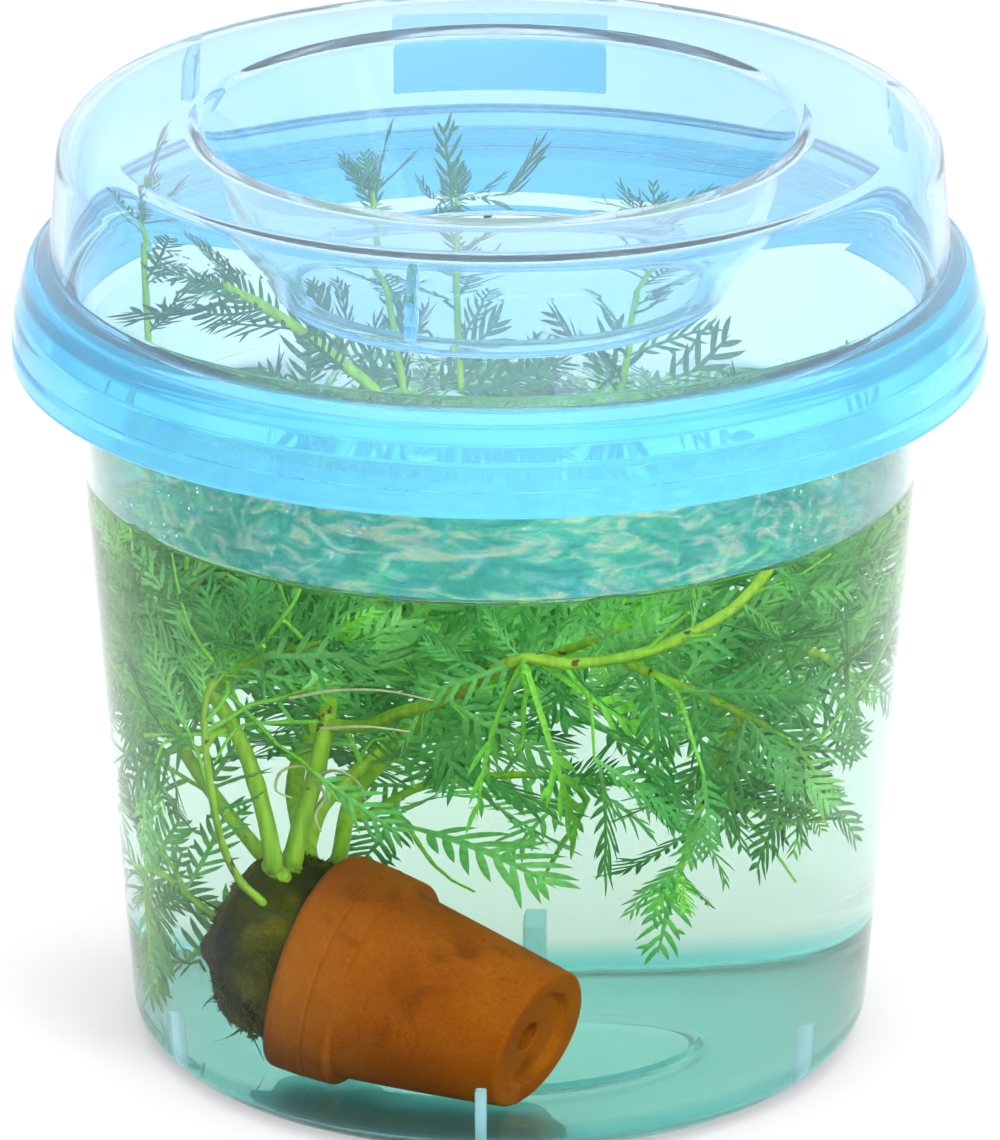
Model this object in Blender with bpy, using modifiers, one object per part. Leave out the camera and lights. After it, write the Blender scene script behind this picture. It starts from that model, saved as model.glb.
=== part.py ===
"""A water violet rooted in a small clay pot that lies in a lidded, clear tub of water.

Lengths are in millimetres until a mesh is made. +Z is up, the origin is the centre of
the tub's base, and the side with the pot is at -Y. A shoot is one grown piece: its stem
with the leaves fused to it, each leaf as a thin lozenge that reaches the real leaf's tip.
"""

import math
from collections import namedtuple

import bmesh
import bpy
from mathutils import Matrix, Quaternion, Vector, noise
from mathutils.bvhtree import BVHTree

MM = 0.001
GAP = 0.3  # between pieces that touch
TURN_SIDES = 28  # facets round the tub, the lid and the water
POT_SIDES = 16
STEM_SIDES = 4
GOLDEN_TURN = math.radians(137.5)

# Tub: a tapered bucket with an outward rim that the lid snaps over
TUB_FOOT_R = 66.2
TUB_BASE_R = 74.4
TUB_CORNER_Z = 8.0
TUB_LIP_R = 84.7
TUB_LIP_Z = 143.3
TUB_WALL = 2.4
TUB_FLOOR = 3.0
RIM_R = 92.4
RIM_TOP = 159.9
TUB_TAPER = (TUB_LIP_R - TUB_BASE_R) / (TUB_LIP_Z - TUB_CORNER_Z)

# Lid: a collar over the rim, a dome wall, a flat ring and a deep open well
LID_WALL = 3.0
LID_TOP = 191.3
COLLAR_R = 96.7
DOME_FOOT_R = 89.0
DOME_TOP_R = 87.6
WELL_MOUTH_R = 57.6
WELL_FOOT_R = 44.5
WELL_FOOT_Z = 157.0
HOLE_R = 39.6

# Small gussets inside the tub's bottom corner and under the lid's shoulder
TUB_GUSSETS = 6
TUB_GUSSET_TURN = 27.0
TUB_GUSSET_TOP = 14.7
LID_GUSSETS = 3
LID_GUSSET_TURN = 18.5
LID_GUSSET_FOOT = 174.5
GUSSET_WIDTH = 2.2

WATER_LEVEL = 119.0
SKIN = 2.0  # of water left over the pockets that hold the sunken leaves

# Clay pot, described standing on its base, then laid on its side
POT_LENGTH = 43.5
POT_BASE_R = 15.0
POT_RIM_R = 24.5
POT_NECK_R = 22.9  # the collar's lower edge, which it lies on
POT_COLLAR = 12.5
POT_WALL = 3.4
POT_HOLE_R = 3.2
POT_EDGE = 1.0  # its rounded edges
POT_MOUTH_X = -31.3
POT_MOUTH_Y = -23.9
POT_YAW = -26.0  # degrees, the way its base points

LEAF_THICKNESS = 1.0
LEAF_WIDTH = 0.36  # of its length
LEAF_ROOM = 1.4  # kept between a leaf tip and the vessel's walls

Shoot = namedtuple("Shoot", "name grows_from points radii leaves length start in_air tips")

SHOOTS = [
    Shoot("stem_left", "root_ball",
          [(-38.8, -33, 52), (-40.2, -33, 61.5), (-42.9, -29, 73.5), (-46.7, -24, 82.2),
           (-51.5, -17, 89), (-57, -9, 98), (-61, 0, 109)],
          (1.9, 1.1), 5, 24, 0.6, False, []),
    Shoot("stem_middle", "root_ball",
          [(-34.3, -28, 52), (-32.5, -28, 60.8), (-30.9, -28, 67), (-28.9, -26.5, 76),
           (-27.5, -23.5, 83), (-24.5, -17, 91), (-15, -8, 97.5), (-6, 0, 104)],
          (1.7, 1.1), 6, 24, 0.55, False, []),
    Shoot("stem_curled", "root_ball",
          [(-46.3, -38, 48), (-50, -40, 55), (-53, -43, 66), (-54.6, -44, 80.7),
           (-53.6, -44, 88.9), (-50.1, -44, 93.8)],
          (0.9, 0.7), 2, 16, 0.2, False, []),
    Shoot("branch_left", ("stem_left", 0.42),
          [(-51.8, -28, 72.6), (-55.6, -24, 75.2), (-58, -18, 80), (-62, -11, 88)],
          (0.8, 0.6), 4, 20, 0.35, False, []),
    Shoot("runner_front", ("stem_middle", 0.42),
          [(-21.7, -32, 82), (-16.7, -38, 86.5), (-10.2, -45, 91), (-1.7, -56, 100),
           (4.6, -60, 104), (12.8, -60, 102.7), (26.7, -57, 104), (39.7, -52, 109),
           (46, -49, 114), (52, -45, 120.5)],
          (1.2, 1.0), 3, 22, 0.72, False,
          [(0.48, (-4.2, -54, 67.6)), (0.48, (14.1, -52, 62.8)), (0.48, (-15, -56, 95)),
           (0.48, (-3, -64, 115)), (0.5, (27.9, -45, 80.7)), (0.5, (14, -65, 115)),
           (0.56, (22, -62, 92)), (0.7, (40, -56, 94)), (0.4, (-14, -60, 108)),
           (0.6, (22, -50, 115))]),
    Shoot("shoot_right_front", ("runner_front", 0.66),
          [(28, -48, 96), (37, -42, 89), (46, -34, 80), (51, -26, 69), (51, -20, 60)],
          (0.9, 0.7), 8, 24, 0.15, False, []),
    Shoot("shoot_centre", "root_ball",
          [(-26, -10, 60), (-13, -8, 76), (0, -15, 89), (12, -24, 97), (22, -34, 104)],
          (1.2, 0.8), 8, 25, 0.3, False, []),
    Shoot("shoot_right", "root_ball",
          [(-20, -2, 62), (-4, 4, 78), (14, 6, 88), (30, 2, 91), (46, -4, 88), (57, -6, 80)],
          (1.3, 0.8), 9, 25, 0.3, False, []),
    Shoot("shoot_low_right", ("shoot_right", 0.7),
          [(37, -12, 80), (35, -20, 70), (31.5, -24, 58), (29.5, -25, 48)],
          (0.8, 0.6), 5, 19, 0.3, False, [(0.97, (25.7, -25, 29.8))]),
    Shoot("shoot_behind_pot", ("shoot_right", 0.12),
          [(-10, 12, 58), (3, 17, 59), (17, 15, 57), (30, 10, 55)],
          (0.8, 0.6), 5, 19, 0.2, False, []),
    Shoot("shoot_back", "root_ball",
          [(-29, 6, 60), (-20, 22, 76), (-2, 32, 88), (18, 38, 95), (38, 36, 98),
           (53, 26, 100)],
          (1.3, 0.8), 9, 25, 0.3, False, []),
    Shoot("shoot_back_left", "root_ball",
          [(-45, -2, 60), (-50, 14, 76), (-46, 30, 92), (-34, 38, 106), (-24, 36, 118),
           (-34.3, 36, 129), (-46, 36, 138), (-56, 33, 145)],
          (1.4, 1.0), 9, 23, 0.18, True, [(0.97, (-76, 14, 146)), (0.97, (-71, 30, 151))]),
    Shoot("shoot_left_low", "root_ball",
          [(-60, -13, 41), (-62.5, -14, 33), (-63, -15, 25), (-64, -15.5, 19)],
          (0.8, 0.5), 3, 13, 0.2, False, []),
    Shoot("shoot_left_top", ("shoot_back_left", 0.28),
          [(-58, 16, 80), (-64, 8, 88), (-66, -2, 96), (-67, -12, 104)],
          (0.9, 0.6), 7, 22, 0.15, False, []),
    Shoot("shoot_front_left", ("stem_left", 0.62),
          [(-49, -33, 88), (-47, -43, 95), (-40, -51, 101), (-31, -57, 106)],
          (0.9, 0.6), 6, 21, 0.2, False, []),
    Shoot("shoot_right_top", ("shoot_back", 0.9),
          [(59, 18, 108), (60, 10, 118), (62, 2, 126), (66, -4, 130)],
          (0.9, 0.6), 6, 20, 0.25, True, []),
    Shoot("shoot_surface", ("shoot_back", 0.55),
          [(2, 27, 100), (-2, 20, 111), (4, 10, 119.5), (16, 2, 120.5), (30, -4, 120)],
          (0.9, 0.7), 6, 22, 0.3, True, []),
    Shoot("sprig_well_left", ("shoot_back", 0.38),
          [(-15, 36, 96), (-18, 41, 112), (-22, 43, 132), (-25, 44, 152), (-26, 46, 160)],
          (0.8, 0.6), 3, 18, 0.45, True, [(0.97, (-22, 50, 174))]),
    Shoot("sprig_well_middle", ("shoot_back", 0.46),
          [(-5, 40, 100), (-8, 45, 120), (-9, 47, 140), (-8.5, 49, 156)],
          (0.8, 0.6), 3, 18, 0.5, True, [(0.97, (-6.5, 53, 175)), (0.9, (13, 55, 170))]),
    Shoot("sprig_back_right", ("shoot_back", 0.68),
          [(22, 44, 106), (26, 48, 124), (29, 49, 140), (31, 50, 151)],
          (0.8, 0.6), 3, 18, 0.45, True, [(0.97, (45, 54, 158)), (0.97, (18, 50, 155))]),
    Shoot("sprig_lid_left", ("shoot_left_top", 0.45),
          [(-68, 14, 98), (-71, 18, 116), (-71, 24, 134), (-72, 29, 152), (-72, 31, 160)],
          (0.8, 0.6), 4, 17, 0.5, True, [(0.97, (-67, 36, 176))]),
]


def clear_scene():
    for old in list(bpy.data.objects):
        bpy.data.objects.remove(old, do_unlink=True)


def new_collection(name):
    made = bpy.data.collections.new(name)
    bpy.context.scene.collection.children.link(made)
    return made


def material(name, colour, roughness, transmission=0.0):
    made = bpy.data.materials.new(name)
    made.use_nodes = True
    shader = made.node_tree.nodes["Principled BSDF"]
    shader.inputs["Base Color"].default_value = (*colour, 1.0)
    shader.inputs["Roughness"].default_value = roughness
    shader.inputs["Metallic"].default_value = 0.0
    shader.inputs["Transmission Weight"].default_value = transmission
    made.diffuse_color = (*colour, 1.0)
    return made


def place(name, mesh, collection, look=None):
    made = bpy.data.objects.new(name, mesh)
    collection.objects.link(made)
    if look:
        mesh.materials.append(look)
    return made


def hide_as_helper(helper):
    helper.hide_render = True
    helper.display_type = "WIRE"
    return helper


def turned(name, profile, closed, sides, collection, look=None):
    """A solid turned round +Z from points of (radius, height)."""
    mesh = bpy.data.meshes.new(name)
    count = len(profile)
    edges = [(i, i + 1) for i in range(count - 1)]
    if closed:
        edges.append((count - 1, 0))
    mesh.from_pydata([(r * MM, 0, z * MM) for r, z in profile], edges, [])
    made = place(name, mesh, collection, look)
    screw = made.modifiers.new("turn", "SCREW")
    screw.steps = sides
    screw.render_steps = sides
    screw.use_merge_vertices = True
    screw.merge_threshold = 0.00001
    return made


def combine(target, other, operation):
    """A Boolean that also sorts out the places where the other mesh crosses itself."""
    cut = target.modifiers.new(other.name, "BOOLEAN")
    cut.operation = operation
    cut.object = other
    cut.solver = "EXACT"
    cut.use_self = True


def evaluated_mesh(source):
    graph = bpy.context.evaluated_depsgraph_get()
    return bpy.data.meshes.new_from_object(source.evaluated_get(graph))


def tree_of(bm):
    """A search tree of a bmesh, for finding what touches it."""
    bmesh.ops.triangulate(bm, faces=bm.faces[:])
    return BVHTree.FromBMesh(bm)


def tree_of_object(source):
    bm = bmesh.new()
    bm.from_mesh(evaluated_mesh(source))
    bm.transform(source.matrix_world)
    made = tree_of(bm)
    bm.free()
    return made


def wall_radius(z):
    """Radius of the tub's outer wall."""
    return TUB_BASE_R + TUB_TAPER * (z - TUB_CORNER_Z)


def well_radius(z):
    """Radius of the well's hidden side, which faces the space under the lid."""
    rise = (z - WELL_FOOT_Z) / (LID_TOP - WELL_FOOT_Z)
    return WELL_FOOT_R + (WELL_MOUTH_R + LID_WALL - WELL_FOOT_R) * rise


def block(name, size, centre, collection):
    bm = bmesh.new()
    shape = Matrix.Diagonal((*[side * MM for side in size], 1.0))
    bmesh.ops.create_cube(bm, size=1.0, matrix=Matrix.Translation(Vector(centre) * MM) @ shape)
    mesh = bpy.data.meshes.new(name)
    bm.to_mesh(mesh)
    bm.free()
    return place(name, mesh, collection)


def fins(name, outline, width, count, turn, collection):
    """Flat fins standing round +Z, each cut from an outline of (radius, height)."""
    bm = bmesh.new()
    for i in range(count):
        spin = Matrix.Rotation(math.radians(turn + i * 360 / count), 3, "Z")
        across = spin @ Vector((0, width * MM, 0))
        corners = [spin @ Vector((r * MM, 0, z * MM)) - across / 2 for r, z in outline]
        face = bm.faces.new([bm.verts.new(corner) for corner in corners])
        made = bmesh.ops.extrude_face_region(bm, geom=[face])["geom"]
        moved = [item for item in made if isinstance(item, bmesh.types.BMVert)]
        bmesh.ops.translate(bm, verts=moved, vec=across)
    bmesh.ops.recalc_face_normals(bm, faces=bm.faces[:])
    mesh = bpy.data.meshes.new(name)
    bm.to_mesh(mesh)
    bm.free()
    return place(name, mesh, collection)


def tub_gussets(name, grow, collection):
    """The gussets in the tub's bottom corner, grown on each side to cut room for them."""
    outline = [
        (66.5 - grow, 2.0 - grow),
        (70.6, 2.0),
        (73.0, 8.0),
        (73.6, TUB_GUSSET_TOP + grow),
        (69.0 - grow, TUB_GUSSET_TOP + grow),
        (66.5 - grow, TUB_GUSSET_TOP - 2.5 + grow),
    ]
    return fins(name, outline, GUSSET_WIDTH + 2 * grow, TUB_GUSSETS, TUB_GUSSET_TURN, collection)


def make_tub(parts, helpers):
    look = material("clear_plastic_tub", (0.80, 0.93, 0.92), 0.08, 0.9)
    profile = [
        (TUB_LIP_R - 1.2, RIM_TOP),
        (89.6, RIM_TOP),
        (92.0, 157.4),
        (RIM_R, 152.5),
        (90.4, 152.5),
        (90.0, 156.4),
        (86.6, 157.0),
        (TUB_LIP_R, TUB_LIP_Z),
        (TUB_BASE_R, TUB_CORNER_Z),
        (72.0, 2.4),
        (TUB_FOOT_R, 0.0),
        (0.0, 0.0),
        (0.0, TUB_FLOOR),
        (64.4, TUB_FLOOR),
        (69.4, 5.0),
        (TUB_BASE_R - TUB_WALL, 9.0),
        (TUB_LIP_R - TUB_WALL, TUB_LIP_Z),
    ]
    tub = turned("tub", profile, True, TURN_SIDES, parts, look)
    # The loop's stretch along the axis is no wall, so its edge goes
    drop_axis_edge(tub)
    combine(tub, hide_as_helper(tub_gussets("tub_gussets", 0.0, helpers)), "UNION")
    return tub


def drop_axis_edge(source):
    bm = bmesh.new()
    bm.from_mesh(source.data)
    on_axis = [edge for edge in bm.edges if max(abs(v.co.x) for v in edge.verts) < 1e-9]
    bmesh.ops.delete(bm, geom=on_axis, context="EDGES_FACES")
    bm.to_mesh(source.data)
    bm.free()


def make_lid(parts, helpers):
    look = material("blue_plastic_lid", (0.55, 0.84, 0.98), 0.08, 0.85)
    profile = [
        (WELL_MOUTH_R + 4.4, LID_TOP),
        (79.4, LID_TOP),
        (84.6, 189.4),
        (DOME_TOP_R, 182.7),
        (DOME_FOOT_R, 165.2),
        (93.2, 161.6),
        (96.0, 154.2),
        (COLLAR_R, 144.6),
        (95.9, TUB_LIP_Z),
        (94.2, TUB_LIP_Z),
        (93.9, 153.0),
        (90.8, RIM_TOP + GAP),
        (DOME_FOOT_R - LID_WALL + 0.6, RIM_TOP + GAP),
        (DOME_FOOT_R - LID_WALL, 162.2),
        (DOME_TOP_R - LID_WALL, 182.0),
        (79.0, LID_TOP - LID_WALL),
        (WELL_MOUTH_R + 3.4, LID_TOP - LID_WALL),
        (WELL_FOOT_R + 1.2, WELL_FOOT_Z + 1.2),
        (WELL_FOOT_R - 0.6, WELL_FOOT_Z),
        (HOLE_R + 0.8, WELL_FOOT_Z),
        (HOLE_R, WELL_FOOT_Z + 1.6),
        (HOLE_R + 0.8, WELL_FOOT_Z + 3.2),
        (WELL_FOOT_R - 0.9, WELL_FOOT_Z + 3.4),
        (WELL_MOUTH_R, 188.2),
    ]
    lid = turned("lid", profile, True, TURN_SIDES, parts, look)
    outline = [
        (81.6, LID_GUSSET_FOOT + 2.0),
        (83.2, LID_GUSSET_FOOT),
        (85.8, LID_GUSSET_FOOT),
        (85.8, 182.0),
        (83.4, 187.0),
        (81.6, 188.5),
    ]
    gussets = fins("lid_gussets", outline, GUSSET_WIDTH, LID_GUSSETS, LID_GUSSET_TURN, helpers)
    combine(lid, hide_as_helper(gussets), "UNION")
    # A plain flat pad moulded on the back of the dome
    pad = block("lid_pad", (44.5, 5.1, 15.0), (0, 87.25, 175.8), helpers)
    combine(lid, hide_as_helper(pad), "UNION")
    return lid


def pot_matrix():
    """From the standing pot, mouth up, to the lying one, resting on collar and base edge."""
    neck = POT_LENGTH - POT_COLLAR
    tilt = math.atan((POT_NECK_R - POT_BASE_R) / (neck - POT_EDGE))
    yaw = math.radians(POT_YAW)
    to_base = Vector((math.cos(yaw) * math.cos(tilt), math.sin(yaw) * math.cos(tilt), -math.sin(tilt)))
    height = TUB_FLOOR + GAP + POT_NECK_R * math.cos(tilt) + POT_COLLAR * math.sin(tilt)
    mouth = Vector((POT_MOUTH_X, POT_MOUTH_Y, height))
    turn = (-to_base).to_track_quat("Z", "Y").to_matrix().to_4x4()
    return Matrix.Translation((mouth + to_base * POT_LENGTH) * MM) @ turn


def make_pot(parts):
    look = material("terracotta", (0.47, 0.17, 0.03), 0.75)
    neck = POT_LENGTH - POT_COLLAR
    profile = [
        (POT_RIM_R - POT_EDGE, POT_LENGTH),
        (POT_RIM_R, POT_LENGTH - POT_EDGE),
        (POT_NECK_R, neck),
        (POT_NECK_R - 1.8, neck - 0.8),
        (POT_BASE_R, POT_EDGE),
        (POT_BASE_R - POT_EDGE, 0.0),
        (POT_BASE_R - 4.6, 0.0),
        (POT_BASE_R - 5.4, 1.8),
        (POT_HOLE_R, 1.8),
        (POT_HOLE_R, 5.0),
        (POT_BASE_R - POT_WALL, 5.0),
        (POT_RIM_R - POT_WALL, POT_LENGTH),
    ]
    pot = turned("clay_pot", profile, True, POT_SIDES, parts, look)
    pot.matrix_world = pot_matrix()
    return pot


def make_root_ball(parts):
    """The mossy plug: it fills the pot's mouth and bulges out of it in soft lumps."""
    look = material("mossy_roots", (0.10, 0.13, 0.015), 0.95)
    inner = POT_RIM_R - POT_WALL - 2 * GAP
    bulge_from = POT_LENGTH + 0.6
    profile = [
        (0.0, POT_LENGTH + 17.5),
        (9.0, POT_LENGTH + 16.4),
        (16.5, POT_LENGTH + 12.6),
        (20.6, POT_LENGTH + 7.4),
        (21.6, POT_LENGTH + 2.6),
        (inner, bulge_from - 0.4),
        (inner - 4.6, POT_LENGTH - 16.0),
        (0.0, POT_LENGTH - 17.0),
    ]
    ball = turned("root_ball", profile, False, POT_SIDES, parts, look)
    ball.matrix_world = pot_matrix()
    bpy.context.view_layer.update()
    mesh = evaluated_mesh(ball)
    ball.modifiers.clear()
    for vertex in mesh.vertices:
        if vertex.co.z < (bulge_from + 1.5) * MM:
            continue
        outward = Vector((vertex.co.x, vertex.co.y, vertex.co.z - bulge_from * MM)).normalized()
        vertex.co += outward * 2.2 * MM * noise.noise(vertex.co * 120.0)
    ball.data = mesh
    return ball


def along(points, fraction):
    """Point and direction at a fraction of a path's length."""
    lengths = [(b - a).length for a, b in zip(points, points[1:])]
    left = fraction * sum(lengths)
    for i, step in enumerate(lengths):
        if left <= step or i == len(lengths) - 1:
            heading = (points[i + 1] - points[i]).normalized()
            return points[i] + heading * min(left, step), heading
        left -= step


def radius_at(shoot, fraction):
    thick, thin = shoot.radii
    return thick + (thin - thick) * fraction


def rooted_path(shoot, paths, shoots, ball_tree):
    """The shoot's points in millimetres, begun just off what it grows from."""
    points = [Vector(point) for point in shoot.points]
    if shoot.grows_from == "root_ball":
        spot, normal, _, _ = ball_tree.find_nearest(points[0] * MM)
        foot, outward = spot / MM, normal.normalized()
        clearance = GAP
    else:
        parent_name, fraction = shoot.grows_from
        foot, heading = along(paths[parent_name], fraction)
        toward = points[0] - foot
        outward = (toward - heading * toward.dot(heading)).normalized()
        clearance = radius_at(shoots[parent_name], fraction) + GAP
    collar = clearance + 2.0
    ahead = [point for point in points if (point - foot).length > collar + 1.5]
    return [foot + outward * clearance, foot + outward * collar] + ahead


def add_tube(bm, points, radii, grow, sides):
    """A tapered tube with closed ends, added to a bmesh through a bevelled curve."""
    curve = bpy.data.curves.new("tube", "CURVE")
    curve.dimensions = "3D"
    curve.bevel_depth = MM
    curve.bevel_resolution = sides // 2 - 2
    curve.use_fill_caps = True
    spline = curve.splines.new("POLY")
    spline.points.add(len(points) - 1)
    ends = [points[0] - (points[1] - points[0]).normalized() * grow] + points[1:-1]
    ends.append(points[-1] + (points[-1] - points[-2]).normalized() * grow)
    for i, point in enumerate(ends):
        spline.points[i].co = (*(point * MM), 1.0)
        share = i / (len(ends) - 1)
        spline.points[i].radius = radii[0] + (radii[1] - radii[0]) * share + grow
    guide = bpy.data.objects.new("tube", curve)
    bpy.context.scene.collection.objects.link(guide)
    bm.from_mesh(evaluated_mesh(guide))
    bmesh.ops.remove_doubles(bm, verts=bm.verts[:], dist=0.00001)
    bpy.data.objects.remove(guide)


def add_leaf(bm, base, tip, side, grow):
    """A thin lozenge from base to tip: a coarse sphere with four sides, drawn out."""
    half = (tip - base) / 2
    flat = half.cross(side).normalized()
    length = half.length
    half_width = length * LEAF_WIDTH + 1.2 * grow
    half_depth = LEAF_THICKNESS / 2 + 0.5 * grow
    frame = Matrix.Identity(4)
    frame.col[0] = (*(side.normalized() * half_width * MM), 0)
    frame.col[1] = (*(flat * half_depth * MM), 0)
    frame.col[2] = (*(half.normalized() * (length + 1.4 * grow) * MM), 0)
    frame.col[3] = (*((base + tip) / 2 * MM), 1)
    bmesh.ops.create_uvsphere(bm, u_segments=4, v_segments=2, radius=1.0, matrix=frame)


def has_room(point, in_air, margin):
    """Whether a leaf may reach this point: inside the vessel and off what it must not meet."""
    x, y, z = point
    radius = math.hypot(x, y)
    if z < TUB_FLOOR + margin or radius > min(wall_radius(z), DOME_TOP_R) - LID_WALL - margin:
        return False
    if z < TUB_GUSSET_TOP + margin and radius > 66.5 - margin:
        return False
    if not in_air:
        return z < WATER_LEVEL - SKIN - 1.0
    if z > LID_TOP - LID_WALL - margin:
        return False
    if z > WATER_LEVEL + 5 and y < -12:
        return False
    if z > WATER_LEVEL + 5 and radius < HOLE_R and y < 30:
        return False
    return z < WELL_FOOT_Z - margin or radius > well_radius(z) + margin


def leaf_fits(base, tip, side, in_air, others):
    """A leaf fits if it has room all along and crosses no other piece."""
    width = (tip - base).length * LEAF_WIDTH / 2
    middle = (base + tip) / 2
    spots = (tip, middle, middle + side * width, middle - side * width)
    if not all(has_room(spot, in_air, LEAF_ROOM) for spot in spots):
        return False
    bm = bmesh.new()
    add_leaf(bm, base, tip, side, 1.0)
    mine = tree_of(bm)
    bm.free()
    return not any(mine.overlap(other) for other in others)


def leaf_wishes(shoot, path):
    """Base, direction, side and length of each leaf before it is fitted, from foot to tip."""
    wishes = []
    for fraction, tip in shoot.tips:
        base, heading = along(path, fraction)
        reach = Vector(tip) - base
        side = reach.cross(heading)
        if side.length < 1e-3:
            side = reach.orthogonal()
        wishes.append((base, reach.normalized(), side.normalized(), reach.length))
    for i in range(shoot.leaves):
        share = (i + 0.6) / shoot.leaves
        fraction = shoot.start + (1 - shoot.start) * share
        base, heading = along(path, fraction)
        around = Quaternion(heading, GOLDEN_TURN * i + len(shoot.name))
        outward = around @ heading.orthogonal().normalized()
        spread = math.radians(74 - 44 * share)
        reach = heading * math.cos(spread) + outward * math.sin(spread)
        side = reach.cross(heading).normalized()
        wishes.append((base, reach, side, shoot.length * (1.05 - 0.25 * share)))
    return wishes


def fitted_leaves(shoot, path, others):
    """Leaves as (base, tip, side): each is turned or shortened until it fits, or left out."""
    fitted = []
    for base, reach, side, length in leaf_wishes(shoot, path):
        heading = side.cross(reach)
        for attempt in range(12):
            swing = Quaternion(heading, math.radians((-1) ** attempt * 9 * attempt))
            way = swing @ reach
            across = swing @ side
            tip = base + way * length * (1.0 - 0.045 * attempt)
            if leaf_fits(base, tip, across, shoot.in_air, others):
                fitted.append((base, tip, across))
                break
    return fitted


def shoot_mesh(name, path, radii, leaves):
    """Stem and leaves as two meshes that cross each other, ready to be joined."""
    stem, blades = bmesh.new(), bmesh.new()
    add_tube(stem, path, radii, 0.0, STEM_SIDES)
    for base, tip, side in leaves:
        add_leaf(blades, base, tip, side, 0.0)
    made = []
    for bm, suffix in ((stem, ""), (blades, "_blades")):
        mesh = bpy.data.meshes.new(name + suffix)
        bmesh.ops.triangulate(bm, faces=bm.faces[:])
        bm.to_mesh(mesh)
        bm.free()
        made.append(mesh)
    return made


def add_hull(bm, spots):
    """The tightest bulging solid round some points, added to a bmesh."""
    corners = [bm.verts.new(spot) for spot in spots]
    made = bmesh.ops.convex_hull(bm, input=corners)
    spare = dict.fromkeys(made["geom_interior"] + made["geom_unused"])
    bmesh.ops.delete(bm, geom=[item for item in spare if item in corners], context="VERTS")


def add_pocket(rooms, spots):
    hull = bmesh.new()
    add_hull(hull, spots)
    mesh = bpy.data.meshes.new("pocket")
    hull.to_mesh(mesh)
    hull.free()
    rooms.from_mesh(mesh)


def add_water_room(rooms, shoot, path, leaves):
    """Room in the water for a shoot: one bulging pocket, and an open one where it breaks the surface."""
    sunken, breaking = [], []
    for piece in leaves + [list(ends) for ends in zip(path, path[1:])]:
        bm = bmesh.new()
        if len(piece) == 3:
            add_leaf(bm, *piece, 1.0)
        else:
            add_tube(bm, piece, shoot.radii, 0.5, STEM_SIDES)
        spots = [vertex.co.copy() for vertex in bm.verts]
        bm.free()
        sunken += [spot for spot in spots if spot.z < (WATER_LEVEL - SKIN) * MM]
        heights = [spot.z / MM for spot in spots]
        if max(heights) > WATER_LEVEL - SKIN and min(heights) < WATER_LEVEL:
            breaking += spots
    add_pocket(rooms, sunken)
    if breaking:
        add_pocket(rooms, breaking)


def make_shoots(parts, helpers, ball, pot):
    """All stems first, then the leaves one shoot at a time, clear of every other piece."""
    shoots = {shoot.name: shoot for shoot in SHOOTS}
    ball_tree = tree_of_object(ball)
    paths = {}
    for shoot in SHOOTS:
        paths[shoot.name] = rooted_path(shoot, paths, shoots, ball_tree)
    trees = {"root_ball": ball_tree, "clay_pot": tree_of_object(pot)}
    for shoot in SHOOTS:
        bm = bmesh.new()
        add_tube(bm, paths[shoot.name], shoot.radii, 0.0, STEM_SIDES)
        trees[shoot.name] = tree_of(bm)
        bm.free()
    rooms = bmesh.new()
    for shoot in SHOOTS:
        path = paths[shoot.name]
        others = [tree for name, tree in trees.items() if name != shoot.name]
        leaves = fitted_leaves(shoot, path, others)
        look = material(shoot.name + "_green", (0.12, 0.42, 0.06), 0.5)
        stem_mesh, blade_mesh = shoot_mesh(shoot.name, path, shoot.radii, leaves)
        whole = bmesh.new()
        whole.from_mesh(stem_mesh)
        whole.from_mesh(blade_mesh)
        trees[shoot.name] = tree_of(whole)
        whole.free()
        made = place(shoot.name, stem_mesh, parts, look)
        blades = hide_as_helper(place(shoot.name + "_blades", blade_mesh, helpers))
        combine(made, blades, "UNION")
        add_water_room(rooms, shoot, path, leaves)
    return rooms


def make_water(parts, helpers, rooms, ball):
    look = material("water", (0.86, 0.96, 0.93), 0.0, 1.0)
    edge = TUB_WALL + GAP
    profile = [
        (0.0, WATER_LEVEL),
        (wall_radius(WATER_LEVEL) - edge, WATER_LEVEL),
        (TUB_BASE_R - edge, 9.2),
        (69.1, 5.3),
        (64.2, TUB_FLOOR + GAP),
        (0.0, TUB_FLOOR + GAP),
    ]
    water = turned("water", profile, False, TURN_SIDES, parts, look)
    combine(water, hide_as_helper(tub_gussets("gusset_room", GAP, helpers)), "DIFFERENCE")
    room = 1.3 * GAP
    pot_room = turned("pot_room", [
        (0.0, POT_LENGTH + room),
        (POT_RIM_R + room, POT_LENGTH + room),
        (POT_NECK_R + room, POT_LENGTH - POT_COLLAR - 2.0),
        (POT_BASE_R + room, -room),
        (0.0, -room),
    ], False, POT_SIDES, helpers)
    pot_room.matrix_world = pot_matrix()
    combine(water, hide_as_helper(pot_room), "DIFFERENCE")
    ball_room = place("ball_room", ball.data.copy(), helpers)
    ball_room.matrix_world = pot_matrix()
    swell = ball_room.modifiers.new("swell", "DISPLACE")
    swell.strength = 4 * GAP * MM
    swell.mid_level = 0.0
    combine(water, hide_as_helper(ball_room), "DIFFERENCE")
    mesh = bpy.data.meshes.new("plant_room")
    rooms.to_mesh(mesh)
    rooms.free()
    combine(water, hide_as_helper(place("plant_room", mesh, helpers)), "DIFFERENCE")
    return water


def main():
    clear_scene()
    parts = new_collection("water_violet")
    helpers = new_collection("cutters")
    make_tub(parts, helpers)
    make_lid(parts, helpers)
    pot = make_pot(parts)
    ball = make_root_ball(parts)
    bpy.context.view_layer.update()
    rooms = make_shoots(parts, helpers, ball, pot)
    make_water(parts, helpers, rooms, ball)
    bpy.context.view_layer.update()


main()
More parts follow.
